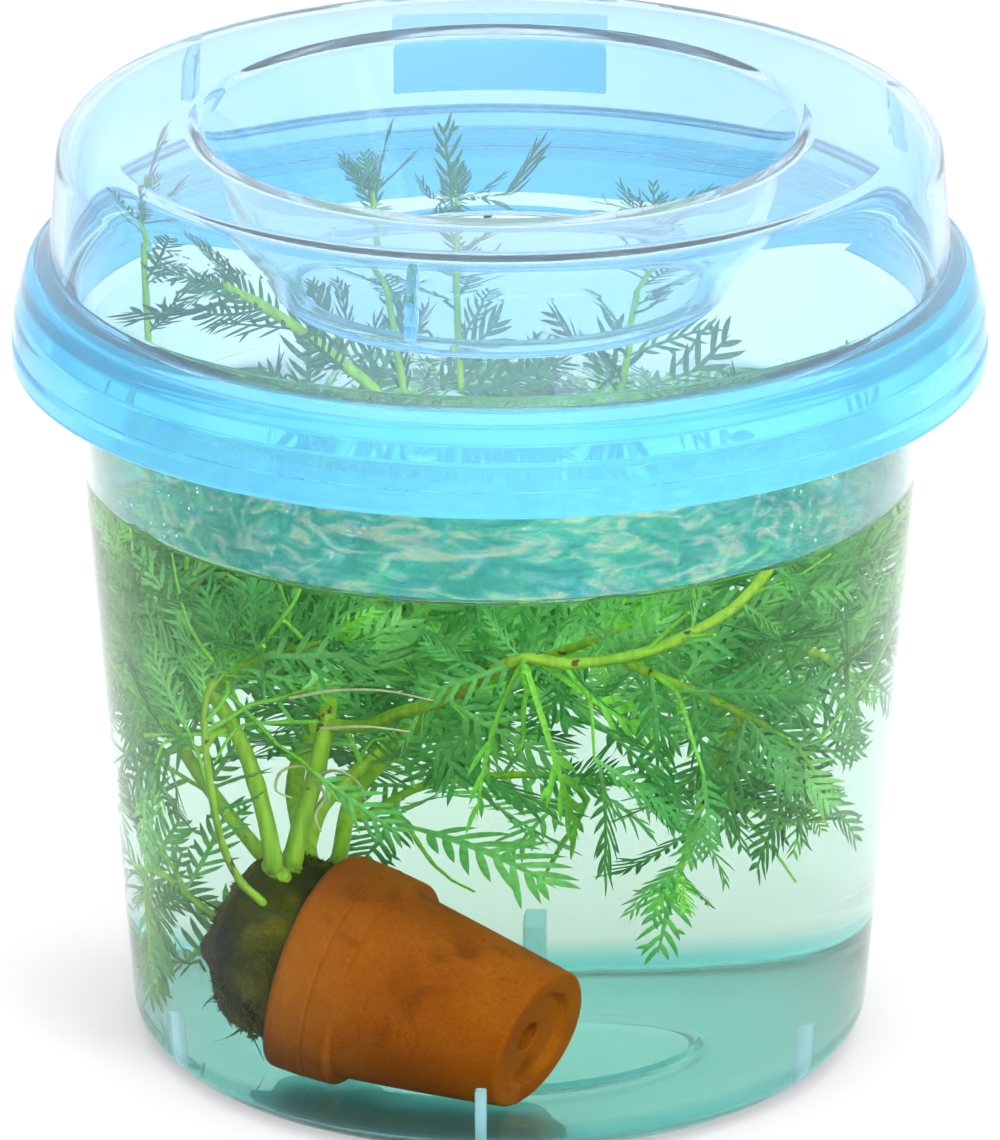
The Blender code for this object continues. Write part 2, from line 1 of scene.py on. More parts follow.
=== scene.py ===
"""Looks for a water violet in a clay pot, lying in a lidded clear tub of water.

Lengths are in millimetres until a mesh is made. The shoots repeat the layout of the solids:
the same stems, and one feathery leaf along each solid lozenge, with companions and side twigs.
"""

import math
import random
from collections import namedtuple

import bmesh
import bpy
import numpy as np
from mathutils import Matrix, Quaternion, Vector, noise
from mathutils.bvhtree import BVHTree


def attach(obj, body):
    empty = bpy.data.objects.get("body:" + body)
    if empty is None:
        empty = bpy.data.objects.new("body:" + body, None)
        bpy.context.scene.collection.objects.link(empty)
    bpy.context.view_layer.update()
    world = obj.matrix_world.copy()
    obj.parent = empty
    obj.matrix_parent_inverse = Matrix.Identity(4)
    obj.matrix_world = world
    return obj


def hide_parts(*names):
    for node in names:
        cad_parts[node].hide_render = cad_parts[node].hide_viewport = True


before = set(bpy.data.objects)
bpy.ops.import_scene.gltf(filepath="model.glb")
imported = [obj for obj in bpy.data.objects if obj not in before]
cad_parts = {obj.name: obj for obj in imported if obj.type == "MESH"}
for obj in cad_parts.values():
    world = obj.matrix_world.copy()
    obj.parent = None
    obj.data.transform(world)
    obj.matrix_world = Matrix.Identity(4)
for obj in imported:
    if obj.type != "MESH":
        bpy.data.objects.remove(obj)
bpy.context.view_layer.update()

MM = 0.001
GAP = 0.3
LATHE_SIDES = 224
GOLDEN_TURN = math.radians(137.5)

# The tub, as in the solids
TUB_BASE_R = 74.4
TUB_CORNER_Z = 8.0
TUB_LIP_R = 84.7
TUB_LIP_Z = 143.3
TUB_WALL = 2.4
TUB_FLOOR = 3.0
RIM_R = 92.4
RIM_TOP = 159.9
TUB_TAPER = (TUB_LIP_R - TUB_BASE_R) / (TUB_LIP_Z - TUB_CORNER_Z)
TUB_GUSSETS = 6
TUB_GUSSET_R = 66.5
TUB_GUSSET_TURN = 27.0
TUB_GUSSET_TOP = 14.7

# The lid, as in the solids
LID_WALL = 3.0
LID_TOP = 191.3
COLLAR_R = 96.7
DOME_FOOT_R = 89.0
DOME_TOP_R = 87.6
WELL_MOUTH_R = 57.6
WELL_FOOT_R = 44.5
WELL_FOOT_Z = 157.0
HOLE_R = 39.6
LID_GUSSETS = 3
LID_GUSSET_TURN = 18.5
LID_GUSSET_FOOT = 174.5
GUSSET_WIDTH = 2.2

WATER_LEVEL = 119.0
SKIN = 2.0

# The clay pot, as in the solids
POT_LENGTH = 43.5
POT_BASE_R = 15.0
POT_RIM_R = 24.5
POT_NECK_R = 22.9
POT_COLLAR = 12.5
POT_WALL = 3.4
POT_HOLE_R = 3.2
POT_EDGE = 1.0
POT_MOUTH_X = -31.3
POT_MOUTH_Y = -23.9
POT_YAW = -26.0

# Leaves, as in the solids
LEAF_THICKNESS = 1.0
LEAF_WIDTH = 0.36
LEAF_ROOM = 1.4
STEM_SIDES = 4
AIR_LEVEL = WATER_LEVEL + 5.0  # higher leaves stay behind AIR_FRONT_Y
AIR_FRONT_Y = -12.0
HOLE_FRONT_Y = 30.0  # the same under the well's hole

# Leaves, twigs and roots beyond those of the solids
STEM, LEAF, YOUNG_LEAF, AIR_LEAF, PALE_ROOT = range(5)  # the plant's materials
CASTING = (  # the shoots that cast shadows
    "stem_left", "stem_middle", "runner_front", "shoot_right_front", "shoot_front_left")
BLADE_WIDTH = 0.042  # widths and depths of blades are shares of the leaf's length
BLADE_DEPTH = 0.016
STALK_DEPTH = 0.036
FORK_WIDTH = 0.036
FORK_DEPTH = 0.014
FORK_CHANCE = 0.22
BARE_BASE = 0.16  # share of a leaf without leaflets
BARE_STALK = 0.52
WALL_CLEARANCE = 0.4
COMPANIONS = 1.7  # more leaves for each one that the solids have
COMPANION_LENGTH = 1.3
LONG_LEAF = 24.0  # on the front runner, leaves over this length have bare stalks
TIP_LEAVES = 6
TUBE_SIDES = 10
THREAD_SIDES = 6
PALE_ROOT_R = 0.38
PALE_ROOT_TAPER = 0.2
TWIGS = 6
TWIG_ROOM = 3.0
TWIG_TONE = 0.1
TWIG_LEAF = (18.0, 29.0)
UNDER_LEAVES = 2  # leaves of a side twig beyond one for each of its points
FLOATING_LEAVES = 8  # the same for a floating twig
TWIG_RADII = [0.55, 0.5, 0.45, 0.4, 0.35, 0.3, 0.25]
BUSHY = {  # side twigs of some shoots, and which way they lean
    "shoot_back": (24, (0.0, 1.5, 0.9)),
    "shoot_back_left": (14, (0.2, 1.2, 0.2)),
    "shoot_surface": (12, (0.3, 0.9, 0.1)),
    "shoot_right_top": (8, (0.2, 0.7, 0.0)),
    "shoot_low_right": (1, (0.0, 0.0, 0.0)),
    "shoot_right_front": (4, (0.3, 0.0, 0.3)),
    "shoot_behind_pot": (3, (0.0, 0.0, 0.3)),
    "branch_left": (10, (-0.3, 0.4, -0.4)),
    "shoot_left_low": (9, (0.0, 0.3, 0.0)),
}
PALE_ROOTS = {  # thin pale roots and threads at the knots of the stems
    "stem_middle": [
        [(-30.5, -30, 70), (-33.5, -34, 73), (-37.5, -36, 72), (-38.5, -36, 68), (-35.5, -36, 66.5)],
        [(-30.5, -30, 70), (-27.5, -34, 72.5), (-24.0, -36, 71), (-22.5, -37, 67)],
        [(-30.5, -30, 69), (-29.5, -35, 67), (-31.5, -37, 63.5), (-30.5, -37, 60)],
    ],
    "runner_front": [
        [(-38, -52, 92), (-30, -55, 95), (-21, -57, 96), (-12, -60, 95)],
        [(-32, -52, 86), (-24, -56, 88), (-16, -57, 87.5)],
    ],
}
FLOATING = {  # twigs that end just under the surface near the back wall
    "shoot_back": [
        [(18, 38, 95), (24, 50, 104), (34, 58, 111), (46, 60, 114.5)],
        [(-2, 32, 88), (-4, 44, 98), (-8, 56, 107), (-16, 66, 113), (-28, 68, 115)],
        [(38, 36, 98), (50, 42, 106), (60, 38, 112), (68, 28, 115)],
        [(8, 36, 92), (10, 50, 103), (6, 62, 112), (-4, 70, 115.5)],
        [(18, 38, 95), (20, 54, 106), (22, 66, 114), (30, 70, 115.5)],
    ],
    "shoot_back_left": [
        [(-46, 30, 92), (-54, 38, 104), (-62, 40, 112), (-66, 36, 115.5)],
        [(-34, 38, 106), (-40, 50, 112), (-48, 58, 115.5)],
        [(-24, 36, 115), (-14, 46, 116), (-2, 50, 116)],
    ],
}
FAR = 1000.0
OPEN_WATER = [  # ranges of x, y and z where no companion and no twig's leaf may end
    ((-30.0, FAR), (-FAR, FAR), (-FAR, 40.0)),  # the clear water low on the right
    ((-52.0, 12.0), (-FAR, -20.0), (-FAR, 62.0)),  # in front of the pot
    ((-64.0, -18.0), (-FAR, -26.0), (50.0, 97.0)),  # in front of the stems
    ((-16.0, 26.0), (-FAR, -36.0), (58.0, 99.0)),  # in front of the whorl
]
MOSS_HAIRS = 1900
MOSS_FROM = 0.06  # metres; hairs are placed by rays from this far off
MOSS_LENGTH = (0.5, 1.7)
ROOT_HAIRS = 0.015  # the share of the hairs that are long
ROOT_HAIR_LENGTH = (3.0, 8.0)
HAIR_SIDES = 3

# Looks-only shapes
TUB_DISC_R = 28.5  # the slightly raised disc in the middle of the tub's floor
TUB_DISC_RISE = 0.9
PAD_SIZE = (44.5, 4.6, 15.0)
PAD_PLACE = (0, 87.5, 175.8)
PAD_BACK_Y = 89.8
PAD_FRONT_Y = 87.0
WATER_OVERLAP = 0.2  # into the plastic, so that no film of air shows
MENISCUS = 1.7
SURFACE_BUMPS = [  # turn from the front, height and spread of the swells along the wall
    (0.275, 3.0, 0.035), (0.62, 2.6, 0.10), (-1.02, 1.4, 0.05)]
EMERGENT = [  # x, y and climb of the water where a stem comes through it
    (-24, 36, 0.9), (62, 6, 0.8), (4, 10, 0.6), (-21, 42, 0.7), (-8, 45, 0.7), (25, 47, 0.7),
    (-71, 18, 0.7)]
MIST_STEPS = 120
MIST_DEPTH = 0.06
MIST_INNER = TUB_WALL + 0.02  # the mist starts this far inside the tub's outer wall
DROPS = 260
DROP_SIZE = 0.14
DROP_GROWTH = 0.3
DROP_SIDES = 7
DROP_RINGS = 3
DROP_HALF_TURN = math.radians(84)  # drops stay this near the front

IMAGE_HEIGHT = 1140.0
CAMERA_DISTANCE = 2.0
CAMERA_RISE = 21.1
CAMERA_PIXELS = 10000.0  # the distance in pixels of the photograph
AIM_Z = 93.0
AIM_BELOW_CENTRE = 14.8  # pixels
SENSOR = 36.0
FLOOR_HALF = 6.0  # metres
FLOOR_DROP = 0.0002
WORLD_STRENGTH = 1.25
LAMPS = [  # name, place, aim, size, watts, and whether it is seen in reflections
    ("softbox_top", (0.0, -0.3, 1.9), (0, 0, 0.1), (1.6, 1.2), 16.0, True),
    ("softbox_left", (-1.0, -1.5, 0.8), (0, 0, 0.12), (0.6, 1.0), 9.0, False),
    ("softbox_right", (1.4, -1.0, 0.8), (0, 0, 0.12), (0.6, 1.0), 18.0, False),
    ("softbox_front", (0.1, -1.8, 0.35), (0, 0, 0.05), (1.2, 0.4), 17.0, False),
]

Shoot = namedtuple("Shoot", "name grows_from points radii leaves length start in_air tips")

SHOOTS = [
    Shoot("stem_left", "root_ball",
          [(-38.8, -33, 52), (-40.2, -33, 61.5), (-42.9, -29, 73.5), (-46.7, -24, 82.2),
           (-51.5, -17, 89), (-57, -9, 98), (-61, 0, 109)],
          (1.9, 1.1), 5, 24, 0.6, False, []),
    Shoot("stem_middle", "root_ball",
          [(-34.3, -28, 52), (-32.5, -28, 60.8), (-30.9, -28, 67), (-28.9, -26.5, 76),
           (-27.5, -23.5, 83), (-24.5, -17, 91), (-15, -8, 97.5), (-6, 0, 104)],
          (1.7, 1.1), 6, 24, 0.55, False, []),
    Shoot("stem_curled", "root_ball",
          [(-46.3, -38, 48), (-50, -40, 55), (-53, -43, 66), (-54.6, -44, 80.7),
           (-53.6, -44, 88.9), (-50.1, -44, 93.8)],
          (0.9, 0.7), 2, 16, 0.2, False, []),
    Shoot("branch_left", ("stem_left", 0.42),
          [(-51.8, -28, 72.6), (-55.6, -24, 75.2), (-58, -18, 80), (-62, -11, 88)],
          (0.8, 0.6), 4, 20, 0.35, False, []),
    Shoot("runner_front", ("stem_middle", 0.42),
          [(-21.7, -32, 82), (-16.7, -38, 86.5), (-10.2, -45, 91), (-1.7, -56, 100),
           (4.6, -60, 104), (12.8, -60, 102.7), (26.7, -57, 104), (39.7, -52, 109),
           (46, -49, 114), (52, -45, 120.5)],
          (1.2, 1.0), 3, 22, 0.72, False,
          [(0.48, (-4.2, -54, 67.6)), (0.48, (14.1, -52, 62.8)), (0.48, (-15, -56, 95)),
           (0.48, (-3, -64, 115)), (0.5, (27.9, -45, 80.7)), (0.5, (14, -65, 115)),
           (0.56, (22, -62, 92)), (0.7, (40, -56, 94)), (0.4, (-14, -60, 108)),
           (0.6, (22, -50, 115))]),
    Shoot("shoot_right_front", ("runner_front", 0.66),
          [(28, -48, 96), (37, -42, 89), (46, -34, 80), (51, -26, 69), (51, -20, 60)],
          (0.9, 0.7), 8, 24, 0.15, False, []),
    Shoot("shoot_centre", "root_ball",
          [(-26, -10, 60), (-13, -8, 76), (0, -15, 89), (12, -24, 97), (22, -34, 104)],
          (1.2, 0.8), 8, 25, 0.3, False, []),
    Shoot("shoot_right", "root_ball",
          [(-20, -2, 62), (-4, 4, 78), (14, 6, 88), (30, 2, 91), (46, -4, 88), (57, -6, 80)],
          (1.3, 0.8), 9, 25, 0.3, False, []),
    Shoot("shoot_low_right", ("shoot_right", 0.7),
          [(37, -12, 80), (35, -20, 70), (31.5, -24, 58), (29.5, -25, 48)],
          (0.8, 0.6), 5, 19, 0.3, False, [(0.97, (25.7, -25, 29.8))]),
    Shoot("shoot_behind_pot", ("shoot_right", 0.12),
          [(-10, 12, 58), (3, 17, 59), (17, 15, 57), (30, 10, 55)],
          (0.8, 0.6), 5, 19, 0.2, False, []),
    Shoot("shoot_back", "root_ball",
          [(-29, 6, 60), (-20, 22, 76), (-2, 32, 88), (18, 38, 95), (38, 36, 98),
           (53, 26, 100)],
          (1.3, 0.8), 9, 25, 0.3, False, []),
    Shoot("shoot_back_left", "root_ball",
          [(-45, -2, 60), (-50, 14, 76), (-46, 30, 92), (-34, 38, 106), (-24, 36, 118),
           (-34.3, 36, 129), (-46, 36, 138), (-56, 33, 145)],
          (1.4, 1.0), 9, 23, 0.18, True, [(0.97, (-76, 14, 146)), (0.97, (-71, 30, 151))]),
    Shoot("shoot_left_low", "root_ball",
          [(-60, -13, 41), (-62.5, -14, 33), (-63, -15, 25), (-64, -15.5, 19)],
          (0.8, 0.5), 3, 13, 0.2, False, []),
    Shoot("shoot_left_top", ("shoot_back_left", 0.28),
          [(-58, 16, 80), (-64, 8, 88), (-66, -2, 96), (-67, -12, 104)],
          (0.9, 0.6), 7, 22, 0.15, False, []),
    Shoot("shoot_front_left", ("stem_left", 0.62),
          [(-49, -33, 88), (-47, -43, 95), (-40, -51, 101), (-31, -57, 106)],
          (0.9, 0.6), 6, 21, 0.2, False, []),
    Shoot("shoot_right_top", ("shoot_back", 0.9),
          [(59, 18, 108), (60, 10, 118), (62, 2, 126), (66, -4, 130)],
          (0.9, 0.6), 6, 20, 0.25, True, []),
    Shoot("shoot_surface", ("shoot_back", 0.55),
          [(2, 27, 100), (-2, 20, 111), (4, 10, 119.5), (16, 2, 120.5), (30, -4, 120)],
          (0.9, 0.7), 6, 22, 0.3, True, []),
    Shoot("sprig_well_left", ("shoot_back", 0.38),
          [(-15, 36, 96), (-18, 41, 112), (-22, 43, 132), (-25, 44, 152), (-26, 46, 160)],
          (0.8, 0.6), 3, 18, 0.45, True, [(0.97, (-22, 50, 174))]),
    Shoot("sprig_well_middle", ("shoot_back", 0.46),
          [(-5, 40, 100), (-8, 45, 120), (-9, 47, 140), (-8.5, 49, 156)],
          (0.8, 0.6), 3, 18, 0.5, True, [(0.97, (-6.5, 53, 175)), (0.9, (13, 55, 170))]),
    Shoot("sprig_back_right", ("shoot_back", 0.68),
          [(22, 44, 106), (26, 48, 124), (29, 49, 140), (31, 50, 151)],
          (0.8, 0.6), 3, 18, 0.45, True, [(0.97, (45, 54, 158)), (0.97, (18, 50, 155))]),
    Shoot("sprig_lid_left", ("shoot_left_top", 0.45),
          [(-68, 14, 98), (-71, 18, 116), (-71, 24, 134), (-72, 29, 152), (-72, 31, 160)],
          (0.8, 0.6), 4, 17, 0.5, True, [(0.97, (-67, 36, 176))]),
]


def wall_radius(z):
    """Radius of the tub's outer wall."""
    return TUB_BASE_R + TUB_TAPER * (z - TUB_CORNER_Z)


def well_radius(z):
    """Radius of the well's hidden side, which faces the space under the lid."""
    rise = (z - WELL_FOOT_Z) / (LID_TOP - WELL_FOOT_Z)
    return WELL_FOOT_R + (WELL_MOUTH_R + LID_WALL - WELL_FOOT_R) * rise


# Materials. The IOR values of the lid, its collar and the tub's gussets are lower than real ones,
# because full bending draws dark rings that the photograph doesn't have.

PLASTIC_IOR = 1.49
LID_IOR = 1.25
COLLAR_IOR = 1.35
TUB_FIN_IOR = 1.12
WATER_IOR = 1.333
MIST_IOR = 1.06
DROP_IOR = 1.33


def look(name, roughness=0.5, specular=0.5):
    """A material, its node tree and its shader."""
    made = bpy.data.materials.new(name)
    made.use_nodes = True
    shader = made.node_tree.nodes["Principled BSDF"]
    shader.inputs["Roughness"].default_value = roughness
    shader.inputs["Specular IOR Level"].default_value = specular
    return made, made.node_tree, shader


def put(tree, kind, inputs=None, **settings):
    """A new node, with its inputs linked or set."""
    node = tree.nodes.new(kind)
    for key, value in settings.items():
        setattr(node, key, value)
    for key, value in (inputs or {}).items():
        if isinstance(value, bpy.types.NodeSocket):
            tree.links.new(value, node.inputs[key])
        else:
            node.inputs[key].default_value = value
    return node


def noise_field(tree, scale, detail=3.0, stretch=(1, 1, 1), distortion=0.0):
    """Noise over the object's own coordinates, which are metres."""
    place = put(tree, "ShaderNodeTexCoord")
    mapping = put(tree, "ShaderNodeMapping", {"Vector": place.outputs["Object"], "Scale": stretch})
    field = put(tree, "ShaderNodeTexNoise", {
        "Vector": mapping.outputs["Vector"], "Scale": scale, "Detail": detail, "Distortion": distortion})
    return field.outputs["Fac"]


def ramp(tree, factor, stops):
    """Colours that follow a factor, from stops of (position, colour)."""
    node = put(tree, "ShaderNodeValToRGB", {"Fac": factor})
    band = node.color_ramp
    while len(band.elements) < len(stops):
        band.elements.new(0.5)
    for element, (position, colour) in zip(band.elements, stops):
        element.position = position
        element.color = (*colour, 1.0)
    return node.outputs["Color"]


def blend_colours(tree, factor, first, second, mode="MIX"):
    """Two colours blended, each a link or a value."""
    node = put(tree, "ShaderNodeMix", data_type="RGBA", blend_type=mode)
    for key, value in ((0, factor), (6, first), (7, second)):
        if isinstance(value, bpy.types.NodeSocket):
            tree.links.new(value, node.inputs[key])
        elif key == 0:
            node.inputs[0].default_value = value
        else:
            node.inputs[key].default_value = (*value, 1.0)
    return node.outputs[2]


def multiply(tree, first, second):
    return blend_colours(tree, 1.0, first, second, "MULTIPLY")


def mottle(tree, stops, *field):
    """Colours that follow noise, whose scale, detail, stretch and distortion come last."""
    return ramp(tree, noise_field(tree, *field), stops)


def add_bump(tree, shader, strength, distance, *field):
    """Relief that follows noise, whose scale, detail, stretch and distortion come last."""
    node = put(tree, "ShaderNodeBump", {
        "Height": noise_field(tree, *field), "Strength": strength, "Distance": distance})
    tree.links.new(node.outputs["Normal"], shader.inputs["Normal"])


def coordinate(tree, axis, kind="Object"):
    """One axis of the object's own coordinates, or of another kind."""
    place = put(tree, "ShaderNodeTexCoord")
    return put(tree, "ShaderNodeSeparateXYZ", {"Vector": place.outputs[kind]}).outputs[axis]


def rescale(tree, value, low, high, to_low=0.0, to_high=1.0):
    """A value's range from low to high, moved to another range."""
    return put(tree, "ShaderNodeMapRange", {
        "Value": value, "From Min": low, "From Max": high, "To Min": to_low, "To Max": to_high,
    }).outputs["Result"]


def clear_look(name, tint, ior, gloss, roughness=0.0, clarity=1.0, soak=None, bump=None,
               foot_tint=None, drift=None):
    """A clear material that bends light.

    What isn't clarity is opaque. soak is the colour that depth gives and its density. foot_tint
    colours the lowest part and frosts its underside. drift is a second tint, in patches.
    """
    made, tree, shader = look(name)
    shader.inputs["Base Color"].default_value = (*tint, 1.0)
    shader.inputs["Specular Tint"].default_value = (gloss, gloss, gloss, 1.0)
    shader.inputs["Transmission Weight"].default_value = clarity
    shader.inputs["IOR"].default_value = ior
    if foot_tint:
        height = coordinate(tree, "Z")
        shades = ramp(tree, rescale(tree, height, 0.0, 0.02), [(0.15, foot_tint), (0.4, tint)])
        tree.links.new(shades, shader.inputs["Base Color"])
        frost = rescale(tree, height, 0.0008, 0.0024, 0.30, 0.0)
        tree.links.new(frost, shader.inputs["Roughness"])
    else:
        shader.inputs["Roughness"].default_value = roughness
    if drift:
        shades = mottle(tree, [(0.35, drift), (0.65, tint)], 28.0, 2.0)
        tree.links.new(shades, shader.inputs["Base Color"])
    if bump:
        scale, strength, stretch = bump
        add_bump(tree, shader, strength, 0.001, scale, 2.0, stretch)
    if soak:
        colour, density = soak
        soaking = put(tree, "ShaderNodeVolumeAbsorption", {"Color": (*colour, 1.0), "Density": density})
        tree.links.new(soaking.outputs["Volume"], tree.nodes["Material Output"].inputs["Volume"])
    return made


def mist_look(name):
    """A film of condensation, half clear, with a tint in patches that fades away at the back. Its near-white
    patches are partly the film's own pale haze and partly painted highlight.
    """
    made, tree, shader = look(name)
    # the last, near-white stop is partly painted highlight: bright streaks of light on the condensation,
    # painted into its colour
    tint = mottle(tree, [(0.34, (0.18, 0.68, 0.70)), (0.50, (0.28, 0.83, 0.84)), (0.64, (0.86, 1.0, 0.98))],
                  240.0, 4.0, (0.3, 1, 1), 1.6)
    fade = rescale(tree, coordinate(tree, "Y"), -0.055, 0.0)
    tree.links.new(blend_colours(tree, fade, tint, (0.93, 0.99, 0.98)), shader.inputs["Base Color"])
    clear = rescale(tree, fade, 0.0, 1.0, 0.78, 0.99)
    tree.links.new(clear, shader.inputs["Transmission Weight"])
    shader.inputs["IOR"].default_value = MIST_IOR
    shader.inputs["Specular Tint"].default_value = (0.2, 0.2, 0.2, 1.0)
    haze = rescale(tree, noise_field(tree, 200.0, 3.0, (0.4, 1, 1), 0.8), 0.35, 0.7, 0.02, 0.24)
    tree.links.new(haze, shader.inputs["Roughness"])
    add_bump(tree, shader, 0.16, 0.001, 300.0, 3.0, (0.35, 1, 1), 1.0)
    return made


def leaf_look(name, dark, light, tip):
    """Green that drifts over the plant, lighter at a leaf's base and darker at its tip."""
    made, tree, shader = look(name, 0.45, 0.12)
    tone = put(tree, "ShaderNodeAttribute", attribute_name="tone")
    drift = mottle(tree, [(0.32, dark), (0.68, light)], 60.0, 3.0)
    aged = blend_colours(tree, tone.outputs["Fac"], drift, tip)
    fleck = mottle(tree, [(0.35, (0.78, 0.80, 0.72)), (0.6, (1.0, 1.0, 1.0))], 900.0, 2.0)
    tree.links.new(multiply(tree, aged, fleck), shader.inputs["Base Color"])
    add_bump(tree, shader, 0.25, 0.0002, 1500.0, 2.0)
    return made


def stem_look():
    """Yellowish green with streaks along the stem and a few brown spots."""
    made, tree, shader = look("stem_yellow_green", 0.4)
    drift = mottle(tree, [(0.3, (0.27, 0.56, 0.035)), (0.7, (0.46, 0.78, 0.06))], 45.0, 3.0)
    streaks = mottle(tree, [(0.38, (0.66, 0.76, 0.6)), (0.60, (1.0, 1.0, 1.0))], 700.0, 2.0, (1, 1, 0.08))
    spots = mottle(tree, [(0.66, (0, 0, 0)), (0.71, (1, 1, 1))], 260.0, 4.0)
    spotted = blend_colours(tree, spots, multiply(tree, drift, streaks), (0.075, 0.045, 0.012))
    tree.links.new(spotted, shader.inputs["Base Color"])
    add_bump(tree, shader, 0.35, 0.0003, 900.0, 3.0, (1, 1, 0.15))
    return made


def terracotta_look():
    """Wet fired clay: cloudy, with darker stains and fine grit."""
    made, tree, shader = look("wet_terracotta", 0.72, 0.2)
    cloud = mottle(tree, [(0.3, (0.33, 0.070, 0.0006)), (0.5, (0.41, 0.100, 0.0008)),
                          (0.72, (0.50, 0.145, 0.003))], 38.0, 5.0)
    stain = mottle(tree, [(0.56, (1, 1, 1)), (0.72, (0.62, 0.55, 0.42))], 95.0, 6.0, (1, 1, 1), 0.6)
    grit = mottle(tree, [(0.3, (0.72, 0.68, 0.62)), (0.5, (1, 1, 1)), (0.75, (1.15, 1.1, 1.0))], 1700.0, 3.0)
    whole = multiply(tree, multiply(tree, cloud, stain), grit)
    tree.links.new(whole, shader.inputs["Base Color"])
    add_bump(tree, shader, 0.4, 0.0004, 1300.0, 5.0)
    return made


def moss_look(name, dark, mid, light):
    """Olive in patches, with dark specks."""
    made, tree, shader = look(name, 0.9, 0.08)
    patch = mottle(tree, [(0.32, dark), (0.52, mid), (0.74, light)], 110.0, 5.0)
    specks = mottle(tree, [(0.35, (0.55, 0.55, 0.3)), (0.62, (1, 1, 0.8))], 1400.0, 3.0)
    tree.links.new(multiply(tree, patch, specks), shader.inputs["Base Color"])
    add_bump(tree, shader, 0.8, 0.0008, 900.0, 5.0)
    return made


# Mesh helpers

def finish_clear(obj, slot, *nodes):
    """Finish a clear piece, which lets the lamps' light straight through to what is inside it."""
    obj.visible_shadow = False
    finish_piece(obj, slot, *nodes)


def finish_piece(obj, slot, *nodes):
    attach(obj, "root")
    if nodes:
        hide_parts(*nodes)


def new_object(name, mesh, materials):
    made = bpy.data.objects.new(name, mesh)
    bpy.context.scene.collection.objects.link(made)
    for material in materials:
        mesh.materials.append(material)
    return made


def smooth(mesh, sharp_over=40.0):
    mesh.shade_smooth()
    mesh.set_sharp_from_angle(angle=math.radians(sharp_over))


def mesh_of(bm, name):
    """A smooth mesh from a bmesh, which is freed."""
    mesh = bpy.data.meshes.new(name)
    bm.to_mesh(mesh)
    bm.free()
    smooth(mesh)
    return mesh


def rounded(corners, closed):
    """Points of (radius, height) from corners of (radius, height, fillet radius)."""
    outline = []
    count = len(corners)
    for i, (r, z, fillet) in enumerate(corners):
        here = Vector((r, z))
        if fillet == 0 or (not closed and i in (0, count - 1)):
            outline.append((r, z))
            continue
        before = Vector(corners[i - 1][:2]) - here
        after = Vector(corners[(i + 1) % count][:2]) - here
        half = before.angle(after) / 2
        reach = min(fillet / math.tan(half), 0.49 * before.length, 0.49 * after.length)
        radius = reach * math.tan(half)
        start = here + before.normalized() * reach
        middle = here + (before.normalized() + after.normalized()).normalized() * radius / math.sin(half)
        spoke = start - middle
        turn = math.pi - 2 * half
        if before.cross(after) > 0:
            turn = -turn
        steps = max(3, int(abs(turn) * 5 + 2))
        for k in range(steps + 1):
            angle = turn * k / steps
            c, s = math.cos(angle), math.sin(angle)
            outline.append((middle.x + spoke.x * c - spoke.y * s, middle.y + spoke.x * s + spoke.y * c))
    return outline


def lathe(name, outline, closed, materials, lift=None, sides=LATHE_SIDES):
    """A smooth solid turned round +Z. lift(x, y, z) may raise single points."""
    verts, rings, faces = [], [], []
    for r, z in outline:
        if r < 1e-6:
            rings.append([len(verts)])
            verts.append((0.0, 0.0, z))
            continue
        rings.append(list(range(len(verts), len(verts) + sides)))
        for k in range(sides):
            angle = 2 * math.pi * k / sides
            verts.append((r * math.cos(angle), r * math.sin(angle), z))
    pairs = list(zip(rings, rings[1:]))
    if closed:
        pairs.append((rings[-1], rings[0]))
    for low, high in pairs:
        for k in range(sides):
            n = (k + 1) % sides
            if len(low) == 1:
                faces.append((low[0], high[n], high[k]))
            elif len(high) == 1:
                faces.append((low[k], low[n], high[0]))
            else:
                faces.append((low[k], low[n], high[n], high[k]))
    if lift:
        verts = [(x, y, z + lift(x, y, z)) for x, y, z in verts]
    mesh = bpy.data.meshes.new(name)
    mesh.from_pydata([(x * MM, y * MM, z * MM) for x, y, z in verts], [], faces)
    bm = bmesh.new()
    bm.from_mesh(mesh)
    bmesh.ops.recalc_face_normals(bm, faces=bm.faces[:])
    bm.to_mesh(mesh)
    bm.free()
    smooth(mesh)
    return new_object(name, mesh, materials)


def fins(name, outline, width, count, turn, materials):
    """Flat fins standing round +Z, cut from an outline of (radius, height), with soft edges."""
    bm = bmesh.new()
    for i in range(count):
        spin = Matrix.Rotation(math.radians(turn + i * 360 / count), 3, "Z")
        across = spin @ Vector((0, width * MM, 0))
        corners = [spin @ Vector((r * MM, 0, z * MM)) - across / 2 for r, z in outline]
        face = bm.faces.new([bm.verts.new(corner) for corner in corners])
        made = bmesh.ops.extrude_face_region(bm, geom=[face])["geom"]
        moved = [item for item in made if isinstance(item, bmesh.types.BMVert)]
        bmesh.ops.translate(bm, verts=moved, vec=across)
    bmesh.ops.recalc_face_normals(bm, faces=bm.faces[:])
    bmesh.ops.bevel(bm, geom=bm.edges[:], offset=0.45 * MM, segments=3, profile=0.5, affect="EDGES")
    return new_object(name, mesh_of(bm, name), materials)


